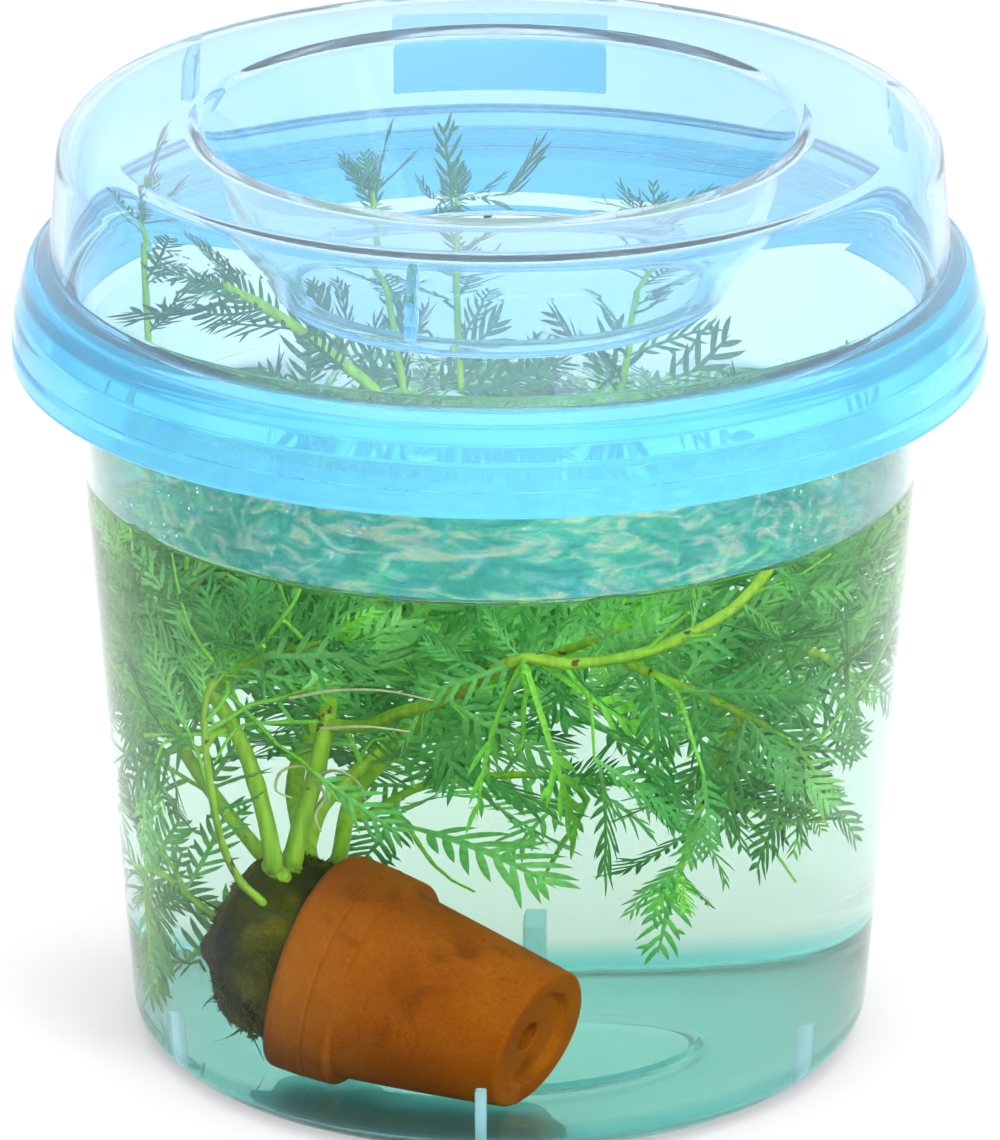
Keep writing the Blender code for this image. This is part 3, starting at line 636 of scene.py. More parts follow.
class Batch:
    """Vertices, faces, tones and material numbers of one piece, gathered before its mesh is made."""

    def __init__(self):
        self.verts = []
        self.faces = []
        self.tones = []
        self.numbers = []
        self.count = 0

    def add(self, verts, faces, tones, number):
        """Add vertices with their tones, one tone or one for each, and faces of one material."""
        self.verts.append(verts)
        self.faces += [[corner + self.count for corner in face] for face in faces]
        self.tones.append(np.broadcast_to(tones, len(verts)))
        self.numbers += [number] * len(faces)
        self.count += len(verts)

    def make(self, name, materials):
        mesh = bpy.data.meshes.new(name)
        mesh.from_pydata((np.concatenate(self.verts) * MM).tolist(), [], self.faces)
        mesh.attributes.new("tone", "FLOAT", "POINT").data.foreach_set(
            "value", np.concatenate(self.tones).astype(np.float32))
        mesh.polygons.foreach_set("material_index", self.numbers)
        smooth(mesh, 70.0)
        return new_object(name, mesh, materials)


def ring_faces(rings, sides):
    """Quads between rings that follow each other, a cap on the first and one on the last."""
    faces = []
    for k in range(rings - 1):
        for s in range(sides):
            n = (s + 1) % sides
            faces.append((k * sides + s, k * sides + n, (k + 1) * sides + n, (k + 1) * sides + s))
    faces.append(tuple(range(sides))[::-1])
    last = (rings - 1) * sides
    faces.append(tuple(range(last, last + sides)))
    return faces


def pointed_faces(rings, sides):
    """Quads between rings, a cap on the first, and a fan from the last to the vertex after it."""
    last = (rings - 1) * sides
    fan = [(last + s, last + (s + 1) % sides, last + sides) for s in range(sides)]
    return ring_faces(rings, sides)[:-1] + fan


def tube(points, radii, sides):
    """A tube through points, with one radius for each."""
    points = [Vector(point) for point in points]
    headings = []
    for i in range(len(points)):
        a, b = points[max(i - 1, 0)], points[min(i + 1, len(points) - 1)]
        headings.append((b - a).normalized())
    side = headings[0].orthogonal().normalized()
    verts = []
    for point, heading, radius in zip(points, headings, radii):
        side = (side - heading * side.dot(heading)).normalized()
        up = heading.cross(side)
        for s in range(sides):
            angle = 2 * math.pi * s / sides
            verts.append(point + (side * math.cos(angle) + up * math.sin(angle)) * radius)
    return np.array(verts), ring_faces(len(points), sides)


def curve_through(points, steps):
    """A smooth curve through points, with some steps between each two."""
    points = [Vector(point) for point in points]
    ends = [points[0] * 2 - points[1]] + points + [points[-1] * 2 - points[-2]]
    smooth_points = []
    for a, b, c, d in zip(ends, ends[1:], ends[2:], ends[3:]):
        for k in range(steps):
            t = k / steps
            smooth_points.append(0.5 * (
                2 * b + (c - a) * t + (2 * a - 5 * b + 4 * c - d) * t * t
                + (3 * b - a - 3 * c + d) * t * t * t))
    return smooth_points + [points[-1]]


# The plant's layout, the same as in the solids

def tree_of(bm):
    """A search tree of a bmesh, which is freed."""
    bmesh.ops.triangulate(bm, faces=bm.faces[:])
    made = BVHTree.FromBMesh(bm)
    bm.free()
    return made


def tree_of_node(name):
    bm = bmesh.new()
    bm.from_mesh(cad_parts[name].data)
    return tree_of(bm)


def pot_matrix():
    """From the standing pot, mouth up, to the lying one, resting on collar and base edge."""
    neck = POT_LENGTH - POT_COLLAR
    tilt = math.atan((POT_NECK_R - POT_BASE_R) / (neck - POT_EDGE))
    yaw = math.radians(POT_YAW)
    to_base = Vector((math.cos(yaw) * math.cos(tilt), math.sin(yaw) * math.cos(tilt), -math.sin(tilt)))
    height = TUB_FLOOR + GAP + POT_NECK_R * math.cos(tilt) + POT_COLLAR * math.sin(tilt)
    mouth = Vector((POT_MOUTH_X, POT_MOUTH_Y, height))
    turn = (-to_base).to_track_quat("Z", "Y").to_matrix().to_4x4()
    return Matrix.Translation((mouth + to_base * POT_LENGTH) * MM) @ turn


def along(points, fraction):
    """Point and direction at a fraction of a path's length."""
    lengths = [(b - a).length for a, b in zip(points, points[1:])]
    left = fraction * sum(lengths)
    for i, step in enumerate(lengths):
        if left <= step or i == len(lengths) - 1:
            heading = (points[i + 1] - points[i]).normalized()
            return points[i] + heading * min(left, step), heading
        left -= step


def radius_at(shoot, fraction):
    thick, thin = shoot.radii
    return thick + (thin - thick) * fraction


def rooted_path(shoot, paths, shoots, ball_tree):
    """The shoot's points in millimetres, begun just off what it grows from."""
    points = [Vector(point) for point in shoot.points]
    if shoot.grows_from == "root_ball":
        spot, normal, _, _ = ball_tree.find_nearest(points[0] * MM)
        foot, outward = spot / MM, normal.normalized()
        clearance = GAP
    else:
        parent_name, fraction = shoot.grows_from
        foot, heading = along(paths[parent_name], fraction)
        toward = points[0] - foot
        outward = (toward - heading * toward.dot(heading)).normalized()
        clearance = radius_at(shoots[parent_name], fraction) + GAP
    collar = clearance + 2.0
    ahead = [point for point in points if (point - foot).length > collar + 1.5]
    return [foot + outward * clearance, foot + outward * collar] + ahead


def add_tube(bm, points, radii, sides):
    """A tapered tube with closed ends, added to a bmesh through a bevelled curve."""
    curve = bpy.data.curves.new("tube", "CURVE")
    curve.dimensions = "3D"
    curve.bevel_depth = MM
    curve.bevel_resolution = sides // 2 - 2
    curve.use_fill_caps = True
    spline = curve.splines.new("POLY")
    spline.points.add(len(points) - 1)
    for i, point in enumerate(points):
        spline.points[i].co = (*(point * MM), 1.0)
        spline.points[i].radius = radii[0] + (radii[1] - radii[0]) * (i / (len(points) - 1))
    guide = bpy.data.objects.new("tube", curve)
    bpy.context.scene.collection.objects.link(guide)
    graph = bpy.context.evaluated_depsgraph_get()
    bm.from_mesh(bpy.data.meshes.new_from_object(guide.evaluated_get(graph)))
    bmesh.ops.remove_doubles(bm, verts=bm.verts[:], dist=0.00001)
    bpy.data.objects.remove(guide)


def add_leaf(bm, base, tip, side, grow):
    """A thin lozenge from base to tip: a coarse sphere with four sides, drawn out."""
    half = (tip - base) / 2
    flat = half.cross(side).normalized()
    length = half.length
    half_width = length * LEAF_WIDTH + 1.2 * grow
    half_depth = LEAF_THICKNESS / 2 + 0.5 * grow
    placing = Matrix.Identity(4)
    placing.col[0] = (*(side.normalized() * half_width * MM), 0)
    placing.col[1] = (*(flat * half_depth * MM), 0)
    placing.col[2] = (*(half.normalized() * (length + 1.4 * grow) * MM), 0)
    placing.col[3] = (*((base + tip) / 2 * MM), 1)
    bmesh.ops.create_uvsphere(bm, u_segments=4, v_segments=2, radius=1.0, matrix=placing)


def solid_tree(shoot, path, leaves):
    """A search tree of the shoot as its solid has it: the stem and these leaves."""
    bm = bmesh.new()
    add_tube(bm, path, shoot.radii, STEM_SIDES)
    for base, tip, side in leaves:
        add_leaf(bm, base, tip, side, 0.0)
    return tree_of(bm)


def has_room(point, in_air, margin):
    """Whether a leaf may reach this point: inside the vessel and off what it must not meet."""
    x, y, z = point
    radius = math.hypot(x, y)
    if z < TUB_FLOOR + margin or radius > min(wall_radius(z), DOME_TOP_R) - LID_WALL - margin:
        return False
    if z < TUB_GUSSET_TOP + margin and radius > TUB_GUSSET_R - margin:
        return False
    if not in_air:
        return z < WATER_LEVEL - SKIN - 1.0
    if z > LID_TOP - LID_WALL - margin:
        return False
    if z > AIR_LEVEL and (y < AIR_FRONT_Y or (radius < HOLE_R and y < HOLE_FRONT_Y)):
        return False
    return z < WELL_FOOT_Z - margin or radius > well_radius(z) + margin


def leaf_fits(base, tip, side, in_air, others):
    """A leaf fits if it has room all along and crosses no other piece."""
    width = (tip - base).length * LEAF_WIDTH / 2
    middle = (base + tip) / 2
    spots = (tip, middle, middle + side * width, middle - side * width)
    if not all(has_room(spot, in_air, LEAF_ROOM) for spot in spots):
        return False
    bm = bmesh.new()
    add_leaf(bm, base, tip, side, 1.0)
    mine = tree_of(bm)
    return not any(mine.overlap(other) for other in others)


def spread_out(heading, turn, angle):
    """The way of a leaf that stands off a stem at an angle in degrees, and the side across both."""
    outward = Quaternion(heading, turn) @ heading.orthogonal().normalized()
    spread = math.radians(angle)
    reach = heading * math.cos(spread) + outward * math.sin(spread)
    return reach, reach.cross(heading).normalized()


def leaf_wishes(shoot, path):
    """Base, direction, side and length of each leaf before it is fitted, from foot to tip."""
    wishes = []
    for fraction, tip in shoot.tips:
        base, heading = along(path, fraction)
        reach = Vector(tip) - base
        side = reach.cross(heading)
        if side.length < 1e-3:
            side = reach.orthogonal()
        wishes.append((base, reach.normalized(), side.normalized(), reach.length))
    for i in range(shoot.leaves):
        share = (i + 0.6) / shoot.leaves
        base, heading = along(path, shoot.start + (1 - shoot.start) * share)
        reach, side = spread_out(heading, GOLDEN_TURN * i + len(shoot.name), 74 - 44 * share)
        wishes.append((base, reach, side, shoot.length * (1.05 - 0.25 * share)))
    return wishes


def fitted_leaves(shoot, path, others):
    """Leaves as (base, tip, side): each is turned or shortened until it fits, or left out."""
    fitted = []
    for base, reach, side, length in leaf_wishes(shoot, path):
        heading = side.cross(reach)
        for attempt in range(12):
            swing = Quaternion(heading, math.radians((-1) ** attempt * 9 * attempt))
            way = swing @ reach
            across = swing @ side
            tip = base + way * length * (1.0 - 0.045 * attempt)
            if leaf_fits(base, tip, across, shoot.in_air, others):
                fitted.append((base, tip, across))
                break
    return fitted


# The plant's looks

def leaf_form(pairs, rng, bare):
    """A feathery leaf of length 1 along X, bare near its base: vertices, faces, tones."""
    verts, faces, tones = [], [], []

    def blade(line, width, depth, tone):
        """A narrow blade along a line of points, pointed at its end."""
        first = len(verts)
        for k, point in enumerate(line[:-1]):
            step = (line[k + 1] - line[max(k - 1, 0)]).normalized()
            across = Vector((-step.y, step.x, 0))
            share = k / (len(line) - 1)
            w = width * (0.45 + 0.75 * math.sin(math.pi * min(share + 0.12, 1.0)) ** 0.8) / 2
            d = depth * (1.0 - 0.5 * share) / 2
            for offset in (across * w, Vector((0, 0, d)), -across * w, Vector((0, 0, -d))):
                verts.append(point + offset)
                tones.append(tone + 0.45 * share)
        verts.append(line[-1])
        tones.append(tone + 0.5)
        faces.extend([first + corner for corner in face] for face in pointed_faces(len(line) - 1, 4))

    stalk = [Vector((k / 6, 0, 0)) for k in range(7)]
    blade(stalk, BLADE_WIDTH, STALK_DEPTH, 0.0)
    for i in range(pairs):
        at = bare + (0.88 - bare) * i / (pairs - 1)
        reach = 0.13 + 0.23 * math.sin(math.pi * min(at * 1.02, 1.0)) ** 0.9
        if bare == BARE_STALK:
            reach = 0.24 - 0.16 * (at - bare)
        for hand in (1, -1):
            x = at + (0.018 if hand > 0 else -0.018) + rng.uniform(-0.012, 0.012)
            angle = math.radians(60 - 24 * at + rng.uniform(-7, 7))
            length = reach * rng.uniform(0.82, 1.12)
            bend = math.radians(rng.uniform(8, 24))
            lift = rng.uniform(-0.16, 0.20)
            line = [Vector((x, 0, 0))]
            for k in range(1, 5):
                heading = angle - bend * k / 4
                step = Vector((math.cos(heading), hand * math.sin(heading), lift * k / 4))
                line.append(line[-1] + step.normalized() * length / 4)
            tone = rng.uniform(0.0, 0.3)
            blade(line, BLADE_WIDTH, BLADE_DEPTH, tone)
            if rng.random() < FORK_CHANCE and 0.3 < at < 0.8:
                start = line[2]
                heading = angle + math.radians(24)
                step = Vector((math.cos(heading), hand * math.sin(heading), lift))
                fork = [start + step * length * 0.42 * k / 3 for k in range(4)]
                blade(fork, FORK_WIDTH, FORK_DEPTH, tone)
    return np.array(verts), faces, np.array(tones)


def leaf_forms():
    """Leaves feathered nearly all along, and then leaves with long bare stalks."""
    rng = random.Random(11)
    feathered = [leaf_form(pairs, rng, BARE_BASE) for pairs in (5, 6, 6, 7, 7, 7, 8, 8)]
    stalked = [leaf_form(pairs, rng, BARE_STALK) for pairs in (3, 4, 4)]
    return feathered, stalked


def add_feather(batch, forms, leaf, number, rng):
    """One detailed leaf from base to tip, arched a little between its ends and off the wall."""
    base, tip, side = leaf
    verts, faces, tones = forms[rng.randrange(len(forms))]
    reach = tip - base
    length = reach.length
    along_leaf = reach / length
    side = (side - along_leaf * side.dot(along_leaf)).normalized()
    flat = along_leaf.cross(side)
    arch = rng.uniform(-0.10, 0.16)
    cup = rng.uniform(-0.5, 0.9)
    x, y, z = verts[:, 0], verts[:, 1], verts[:, 2]
    z = z + arch * 4 * x * (1 - x) * 0.5 + cup * y * y
    sway = rng.uniform(-0.05, 0.05) * 4 * x * (1 - x)
    local = np.stack([x, y + sway, z], axis=1) * length
    axes = np.array([along_leaf[:], side[:], flat[:]])
    shift = rng.uniform(-0.15, 0.55)
    placed = local @ axes + np.array(base[:])
    away = np.hypot(placed[:, 0], placed[:, 1])
    room = wall_radius(placed[:, 2]) - TUB_WALL - WALL_CLEARANCE
    pull = np.where((away > room) & (placed[:, 2] < TUB_LIP_Z), room / np.maximum(away, 1.0), 1.0)
    placed[:, 0] *= pull
    placed[:, 1] *= pull
    batch.add(placed, faces, np.clip(tones + shift, 0.0, 1.0), number)


def shake(rng, amount, lift=0.0):
    """A random vector, which may lean up or down."""
    return Vector((rng.gauss(0, amount), rng.gauss(0, amount), rng.gauss(lift, amount)))


def side_twigs(shoot, path, hard, rng):
    """Lines of thin side twigs, which fill the water out to the wall."""
    twigs = []
    count, lean = BUSHY.get(shoot.name, (TWIGS, (0, 0, 0)))
    for i in range(count):
        fraction = shoot.start * 0.6 + (0.97 - shoot.start * 0.6) * (i + rng.random()) / count
        point, heading = along(path, fraction)
        radial = Vector((point.x, point.y, 0)).normalized()
        around = Quaternion(heading, GOLDEN_TURN * i + 2.0) @ heading.orthogonal().normalized()
        way = (heading * 0.5 + around * 0.9 + radial * 0.6 + Vector(lean)).normalized()
        step = rng.uniform(4.0, 7.0)
        line = [point]
        while len(line) < len(TWIG_RADII):
            way = (way + shake(rng, 0.2, 0.02)).normalized()
            ahead = line[-1] + way * step
            if not has_room(ahead, False, TWIG_ROOM):
                break
            if min(tree.find_nearest(ahead * MM)[3] for tree in hard) < TWIG_ROOM * MM:
                break
            line.append(ahead)
        if len(line) > 2:
            twigs.append(line)
    return twigs


def leaf_number(tip, airy, young):
    """Which leaf material: darker in the air, lighter where the leaf is young."""
    if airy or tip.z > WATER_LEVEL + 3.0:
        return AIR_LEAF
    return YOUNG_LEAF if young else LEAF


def add_leaves(batch, forms, leaves, airy, young, rng):
    """Detailed leaves for a list of (base, tip, side)."""
    for leaf in leaves:
        add_feather(batch, forms, leaf, leaf_number(leaf[1], airy, young), rng)


def in_open_water(tip):
    """Whether a leaf's tip is in a part of the water that stays clear of added leaves."""
    return any(all(low < value < high for value, (low, high) in zip(tip, ranges)) for ranges in OPEN_WATER)


def twig_leaves(twig, in_air, hard, rng):
    """Fitted leaves along a side twig, the last ones at its tip."""
    leaves = []
    count = len(twig) + (FLOATING_LEAVES if in_air else UNDER_LEAVES)
    for i in range(count):
        share = (i + 0.7) / count
        base, heading = along(twig, min(share, 0.985))
        reach, side = spread_out(heading, GOLDEN_TURN * i, 74 - 50 * share + rng.uniform(-8, 8))
        tip = base + reach * rng.uniform(*TWIG_LEAF)
        if leaf_fits(base, tip, side, in_air, hard) and not in_open_water(tip):
            leaves.append((base, tip, side))
    return leaves


def companion_leaves(shoot, path, phase, hard, rng):
    """More leaves along the same stem, between the fitted ones."""
    leaves = []
    count = int(shoot.leaves * COMPANIONS) + 3
    for i in range(count):
        share = (i + 0.5) / count
        fraction = shoot.start * 0.8 + (1 - shoot.start * 0.8) * share
        base, heading = along(path, min(fraction, 0.99))
        angle = 78 - 46 * share + rng.uniform(-10, 10)
        reach, side = spread_out(heading, GOLDEN_TURN * i + phase, angle)
        side = Quaternion(reach, rng.uniform(-0.5, 0.5)) @ side
        length = shoot.length * rng.uniform(0.72, 1.0) * (1.0 - 0.22 * share) * COMPANION_LENGTH
        tip = base + reach * length
        if leaf_fits(base, tip, side, shoot.in_air, hard) and not in_open_water(tip):
            leaves.append((base, tip, side))
    return leaves


def tip_leaves(shoot, path, hard):
    """Short leaves bunched at the shoot's tip."""
    leaves = []
    end, heading = along(path, 0.995)
    for i in range(TIP_LEAVES):
        reach, side = spread_out(heading, GOLDEN_TURN * i, 18 + 7 * i)
        tip = end + reach * (8.0 + 0.9 * i)
        if leaf_fits(end, tip, side, shoot.in_air, hard):
            leaves.append((end, tip, side))
    return leaves


def stem_line(shoot, path):
    """The stem's smooth line, begun inside what it grows from, and its radii with faint knots."""
    foot = path[0] - (path[1] - path[0]).normalized() * 1.6
    line = curve_through([foot] + path, 6)
    radii = []
    for k in range(len(line)):
        share = k / (len(line) - 1)
        knot = 1.0 + 0.13 * math.exp(-((share * 7 % 1 - 0.5) * 9) ** 2)
        taper = 1.0 if share < 0.93 else 1.0 - 6 * (share - 0.93)
        radii.append(radius_at(shoot, share) * 1.12 * knot * taper)
    return line, radii


def make_plant(materials):
    """Every shoot's stem and leaves, each shoot one piece in place of its solid."""
    forms, stalked = leaf_forms()
    shoots = {shoot.name: shoot for shoot in SHOOTS}
    ball_tree = tree_of_node("root_ball")
    paths = {}
    for shoot in SHOOTS:
        paths[shoot.name] = rooted_path(shoot, paths, shoots, ball_tree)
    trees = {"root_ball": ball_tree, "clay_pot": tree_of_node("clay_pot")}
    hard = list(trees.values())
    for shoot in SHOOTS:
        trees[shoot.name] = solid_tree(shoot, paths[shoot.name], [])
    for number, shoot in enumerate(SHOOTS):
        rng = random.Random(100 + number)
        path = paths[shoot.name]
        others = [tree for name, tree in trees.items() if name != shoot.name]
        fitted = fitted_leaves(shoot, path, others)
        trees[shoot.name] = solid_tree(shoot, path, fitted)
        batch = Batch()
        airy = shoot.name.startswith("sprig")
        batch.add(*tube(*stem_line(shoot, path), TUBE_SIDES), 0.0, STEM)
        for leaf in fitted:
            bare = shoot.name == "runner_front" and (leaf[1] - leaf[0]).length > LONG_LEAF
            add_leaves(batch, stalked if bare else forms, [leaf], airy, bare, rng)
        companions = companion_leaves(shoot, path, number * 1.7, hard, rng)
        add_leaves(batch, forms, companions, airy, False, rng)
        for root in PALE_ROOTS.get(shoot.name, []):
            line = curve_through(root, 5)
            radii = [PALE_ROOT_R - PALE_ROOT_TAPER * k / len(line) for k in range(len(line))]
            batch.add(*tube(line, radii, THREAD_SIDES), 0.0, PALE_ROOT)
        add_leaves(batch, forms, tip_leaves(shoot, path, hard), airy, True, rng)
        twigs = [] if airy else [(line, False) for line in side_twigs(shoot, path, hard, rng)]
        floating = [([Vector(point) for point in line], True) for line in FLOATING.get(shoot.name, [])]
        for line, in_air in floating + twigs:
            batch.add(*tube(line, TWIG_RADII[:len(line)], THREAD_SIDES), TWIG_TONE, YOUNG_LEAF)
            add_leaves(batch, forms, twig_leaves(line, in_air, hard, rng), in_air, False, rng)
        piece = batch.make(shoot.name + "_feathery", materials)
        piece.visible_shadow = shoot.name in CASTING
        finish_piece(piece, "water_plant", shoot.name)


# The pot, the root ball and what grows on it

def make_pot(material):
    """The lying pot: a grooved collar, a foot with a drain hole and slightly uneven clay."""
    neck = POT_LENGTH - POT_COLLAR
    corners = [
        (POT_RIM_R, POT_LENGTH, 1.6),
        (POT_RIM_R - 0.55, neck + 5.2, 0.3),
        (POT_RIM_R - 1.05, neck + 4.8, 0.3),
        (POT_RIM_R - 0.75, neck + 4.2, 0.3),
        (POT_NECK_R + 0.3, neck, 0.7),
        (POT_NECK_R - 1.9, neck - 0.5, 0.5),
        (POT_BASE_R, 0.0, 1.3),
        (POT_BASE_R - 4.4, 0.0, 0.8),
        (POT_BASE_R - 5.4, 1.8, 0.6),
        (POT_HOLE_R, 1.8, 0.5),
        (POT_HOLE_R, 5.0, 0.4),
        (POT_BASE_R - POT_WALL, 5.0, 1.5),
        (POT_RIM_R - POT_WALL, POT_LENGTH, 0.9),
    ]
    pot = lathe("terracotta_pot", rounded(corners, True), True, [material], sides=160)
    pot.data.transform(pot_matrix())
    for vertex in pot.data.vertices:
        vertex.co += vertex.normal * 0.12 * MM * noise.noise(vertex.co * 90.0)
    finish_piece(pot, "terracotta", "clay_pot")


def make_plug(material):
    """The lumpy plug of moss and roots in the pot's mouth."""
    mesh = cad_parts["root_ball"].data.copy()
    mesh.name = "mossy_plug"
    bm = bmesh.new()
    bm.from_mesh(mesh)
    bmesh.ops.remove_doubles(bm, verts=bm.verts[:], dist=1e-6)
    bmesh.ops.subdivide_edges(bm, edges=bm.edges[:], cuts=3, use_grid_fill=True)
    for _ in range(2):
        bmesh.ops.smooth_vert(
            bm, verts=bm.verts[:], factor=0.5, use_axis_x=True, use_axis_y=True, use_axis_z=True)
    bmesh.ops.triangulate(bm, faces=bm.faces[:])
    bmesh.ops.subdivide_edges(bm, edges=bm.edges[:], cuts=1)
    bm.normal_update()
    place = pot_matrix().inverted()
    for vertex in bm.verts:
        if (place @ vertex.co).z > (POT_LENGTH + 0.6) * MM:
            lump = noise.fractal(vertex.co * 160.0, 0.9, 2.2, 4)
            clump = noise.noise(vertex.co * 85.0)
            vertex.co += vertex.normal * MM * (1.3 * lump + 2.4 * clump)
    bm.to_mesh(mesh)
    bm.free()
    mesh.materials.clear()
    smooth(mesh, 60.0)
    finish_piece(new_object("mossy_plug", mesh, [material]), "mossy_roots", "root_ball")


def make_moss(material):
    """Short moss over the plug, with a few longer root hairs."""
    tree = tree_of_node("root_ball")
    rng = random.Random(5)
    batch = Batch()
    centre = pot_matrix() @ Vector((0, 0, (POT_LENGTH + 2.0) * MM))
    axis = (pot_matrix().to_3x3() @ Vector((0, 0, 1))).normalized()
    made = 0
    while made < MOSS_HAIRS:
        way = shake(rng, 1).normalized()
        if way.dot(axis) < 0.02:
            continue
        spot, normal, _, _ = tree.ray_cast(centre + way * MOSS_FROM, -way)
        if spot is None:
            continue
        made += 1
        heading = (normal + way * 0.4 + shake(rng, 0.5)).normalized()
        is_long = rng.random() >= 1.0 - ROOT_HAIRS
        length = rng.uniform(*(ROOT_HAIR_LENGTH if is_long else MOSS_LENGTH))
        curl = shake(rng, 0.35, -0.12)
        line = [spot / MM - normal * 0.5]
        for _ in range(4):
            heading = (heading + curl * 0.5).normalized()
            line.append(line[-1] + heading * length / 4)
        if any(point.z < TUB_FLOOR + 0.4 for point in line):
            continue
        thick = rng.uniform(0.10, 0.28)
        hair = tube(line, [thick, thick, thick * 0.8, thick * 0.6, thick * 0.3], HAIR_SIDES)
        batch.add(*hair, rng.uniform(0.0, 1.0), 0)
    finish_piece(batch.make("moss_and_root_hairs", [material]), "mossy_roots")


# The vessel

def make_tub(clear, fin):
    """The tub with its rolled rim, and the small gussets inside its bottom corner."""
    disc_z = TUB_FLOOR + TUB_DISC_RISE
    corners = [
        (0.0, TUB_DISC_RISE, 0),
        (TUB_DISC_R - 1.2, TUB_DISC_RISE, 0.7),
        (TUB_DISC_R, 0.0, 0.7),
        (wall_radius(0.0), 0.0, 8.0),
        (wall_radius(157.0), 157.0, 1.2),
        (90.0, 156.4, 0.8),
        (90.4, 152.5, 0.5),
        (RIM_R, 152.5, 0.6),
        (RIM_R - 0.1, RIM_TOP, 2.6),
        (TUB_LIP_R - 1.3, RIM_TOP, 1.0),
        (TUB_LIP_R - TUB_WALL, TUB_LIP_Z, 3.0),
        (wall_radius(TUB_FLOOR) - TUB_WALL, TUB_FLOOR, 6.0),
        (TUB_DISC_R + 1.4, TUB_FLOOR, 0.8),
        (TUB_DISC_R + 0.1, disc_z, 0.8),
        (0.0, disc_z, 0),
    ]
    tub = lathe("clear_tub", rounded(corners, False), False, [clear])
    finish_clear(tub, "clear_plastic_tub", "tub")
    outline = [
        (TUB_GUSSET_R, TUB_FLOOR - 0.4),
        (71.2, TUB_FLOOR - 0.4),
        (72.6, 8.0),
        (72.8, TUB_GUSSET_TOP),
        (68.6, TUB_GUSSET_TOP),
        (TUB_GUSSET_R, TUB_GUSSET_TOP - 2.4),
    ]
    gussets = fins("tub_gussets", outline, GUSSET_WIDTH, TUB_GUSSETS, TUB_GUSSET_TURN, [fin])
    finish_clear(gussets, "clear_plastic_tub")


def make_lid(clear, collar, fin):
    """The lid: collar, dome and well as one turned shape, and the gussets under its shoulder."""
    corners = [
        (WELL_MOUTH_R + 1.6, LID_TOP, 2.6),
        (86.9, LID_TOP, 8.0),
        (DOME_FOOT_R + 0.05, 165.0, 1.0),
        (93.4, 162.6, 4.0),
        (96.1, 153.4, 7.0),
        (96.45, 149.0, 0.5),
        (96.05, 148.3, 0.4),
        (COLLAR_R, 147.2, 0.8),
        (COLLAR_R, TUB_LIP_Z, 0.9),
        (94.2, TUB_LIP_Z, 0.7),
        (93.9, 153.0, 2.0),
        (90.9, RIM_TOP + GAP, 1.4),
        (86.3, RIM_TOP + GAP, 0.7),
        (84.15, LID_TOP - LID_WALL, 5.4),
        (WELL_MOUTH_R + 3.2, LID_TOP - LID_WALL, 3.0),
        (WELL_FOOT_R + 0.4, WELL_FOOT_Z, 1.6),
        (HOLE_R, WELL_FOOT_Z, 1.5),
        (HOLE_R, WELL_FOOT_Z + 3.3, 1.5),
        (WELL_FOOT_R - 0.9, WELL_FOOT_Z + 3.4, 1.2),
    ]
    lid = lathe("blue_lid", rounded(corners, True), True, [clear, collar])
    for face in lid.data.polygons:
        across = math.hypot(face.center.x, face.center.y) / MM
        face.material_index = int(face.center.z < 164.0 * MM and across > 80.0)
    finish_clear(lid, "blue_plastic_lid", "lid")
    outline = [
        (81.8, LID_GUSSET_FOOT + 2.4),
        (83.2, LID_GUSSET_FOOT),
        (85.6, LID_GUSSET_FOOT),
        (85.4, 182.0),
        (82.8, 187.4),
        (81.2, 188.6),
    ]
    gussets = fins("lid_gussets", outline, GUSSET_WIDTH, LID_GUSSETS, LID_GUSSET_TURN, [fin])
    finish_clear(gussets, "blue_plastic_lid")


def make_lid_pad(material):
    """The flat pad on the back of the dome, hollowed to follow it."""
    bm = bmesh.new()
    size = Matrix.Diagonal((*[length * MM for length in PAD_SIZE], 1.0))
    bmesh.ops.create_cube(bm, size=1.0, matrix=Matrix.Translation(Vector(PAD_PLACE) * MM) @ size)
    level = [edge for edge in bm.edges if abs((edge.verts[0].co - edge.verts[1].co).x) > 0.01]
    bmesh.ops.subdivide_edges(bm, edges=level, cuts=16)
    for vertex in bm.verts:
        dome = math.sqrt(max((DOME_TOP_R + 2.0) ** 2 - (vertex.co.x / MM) ** 2, 0.0)) * MM
        if vertex.co.y > PAD_PLACE[1] * MM:
            vertex.co.y = PAD_BACK_Y * MM
        else:
            vertex.co.y = min(dome - 2.6 * MM, PAD_FRONT_Y * MM)
    sharp = [edge for edge in bm.edges if edge.calc_face_angle(0) > 0.8]
    bmesh.ops.bevel(bm, geom=sharp, offset=0.5 * MM, segments=3, profile=0.5, affect="EDGES")
    finish_clear(new_object("lid_pad", mesh_of(bm, "lid_pad"), [material]), "blue_plastic_lid")


def make_mist(film):
    """Condensation on the dry part of the inner wall, as a thin film."""
    low, high = WATER_LEVEL + 2.4, TUB_LIP_Z + 3.0
    outline = []
    for z, off in ((low, 0.0), (high, 0.0), (high, MIST_DEPTH), (low, MIST_DEPTH)):
        outline.append((wall_radius(z) - MIST_INNER - off, z))
    finish_clear(lathe("mist_film", outline, True, [film], sides=MIST_STEPS), "water")


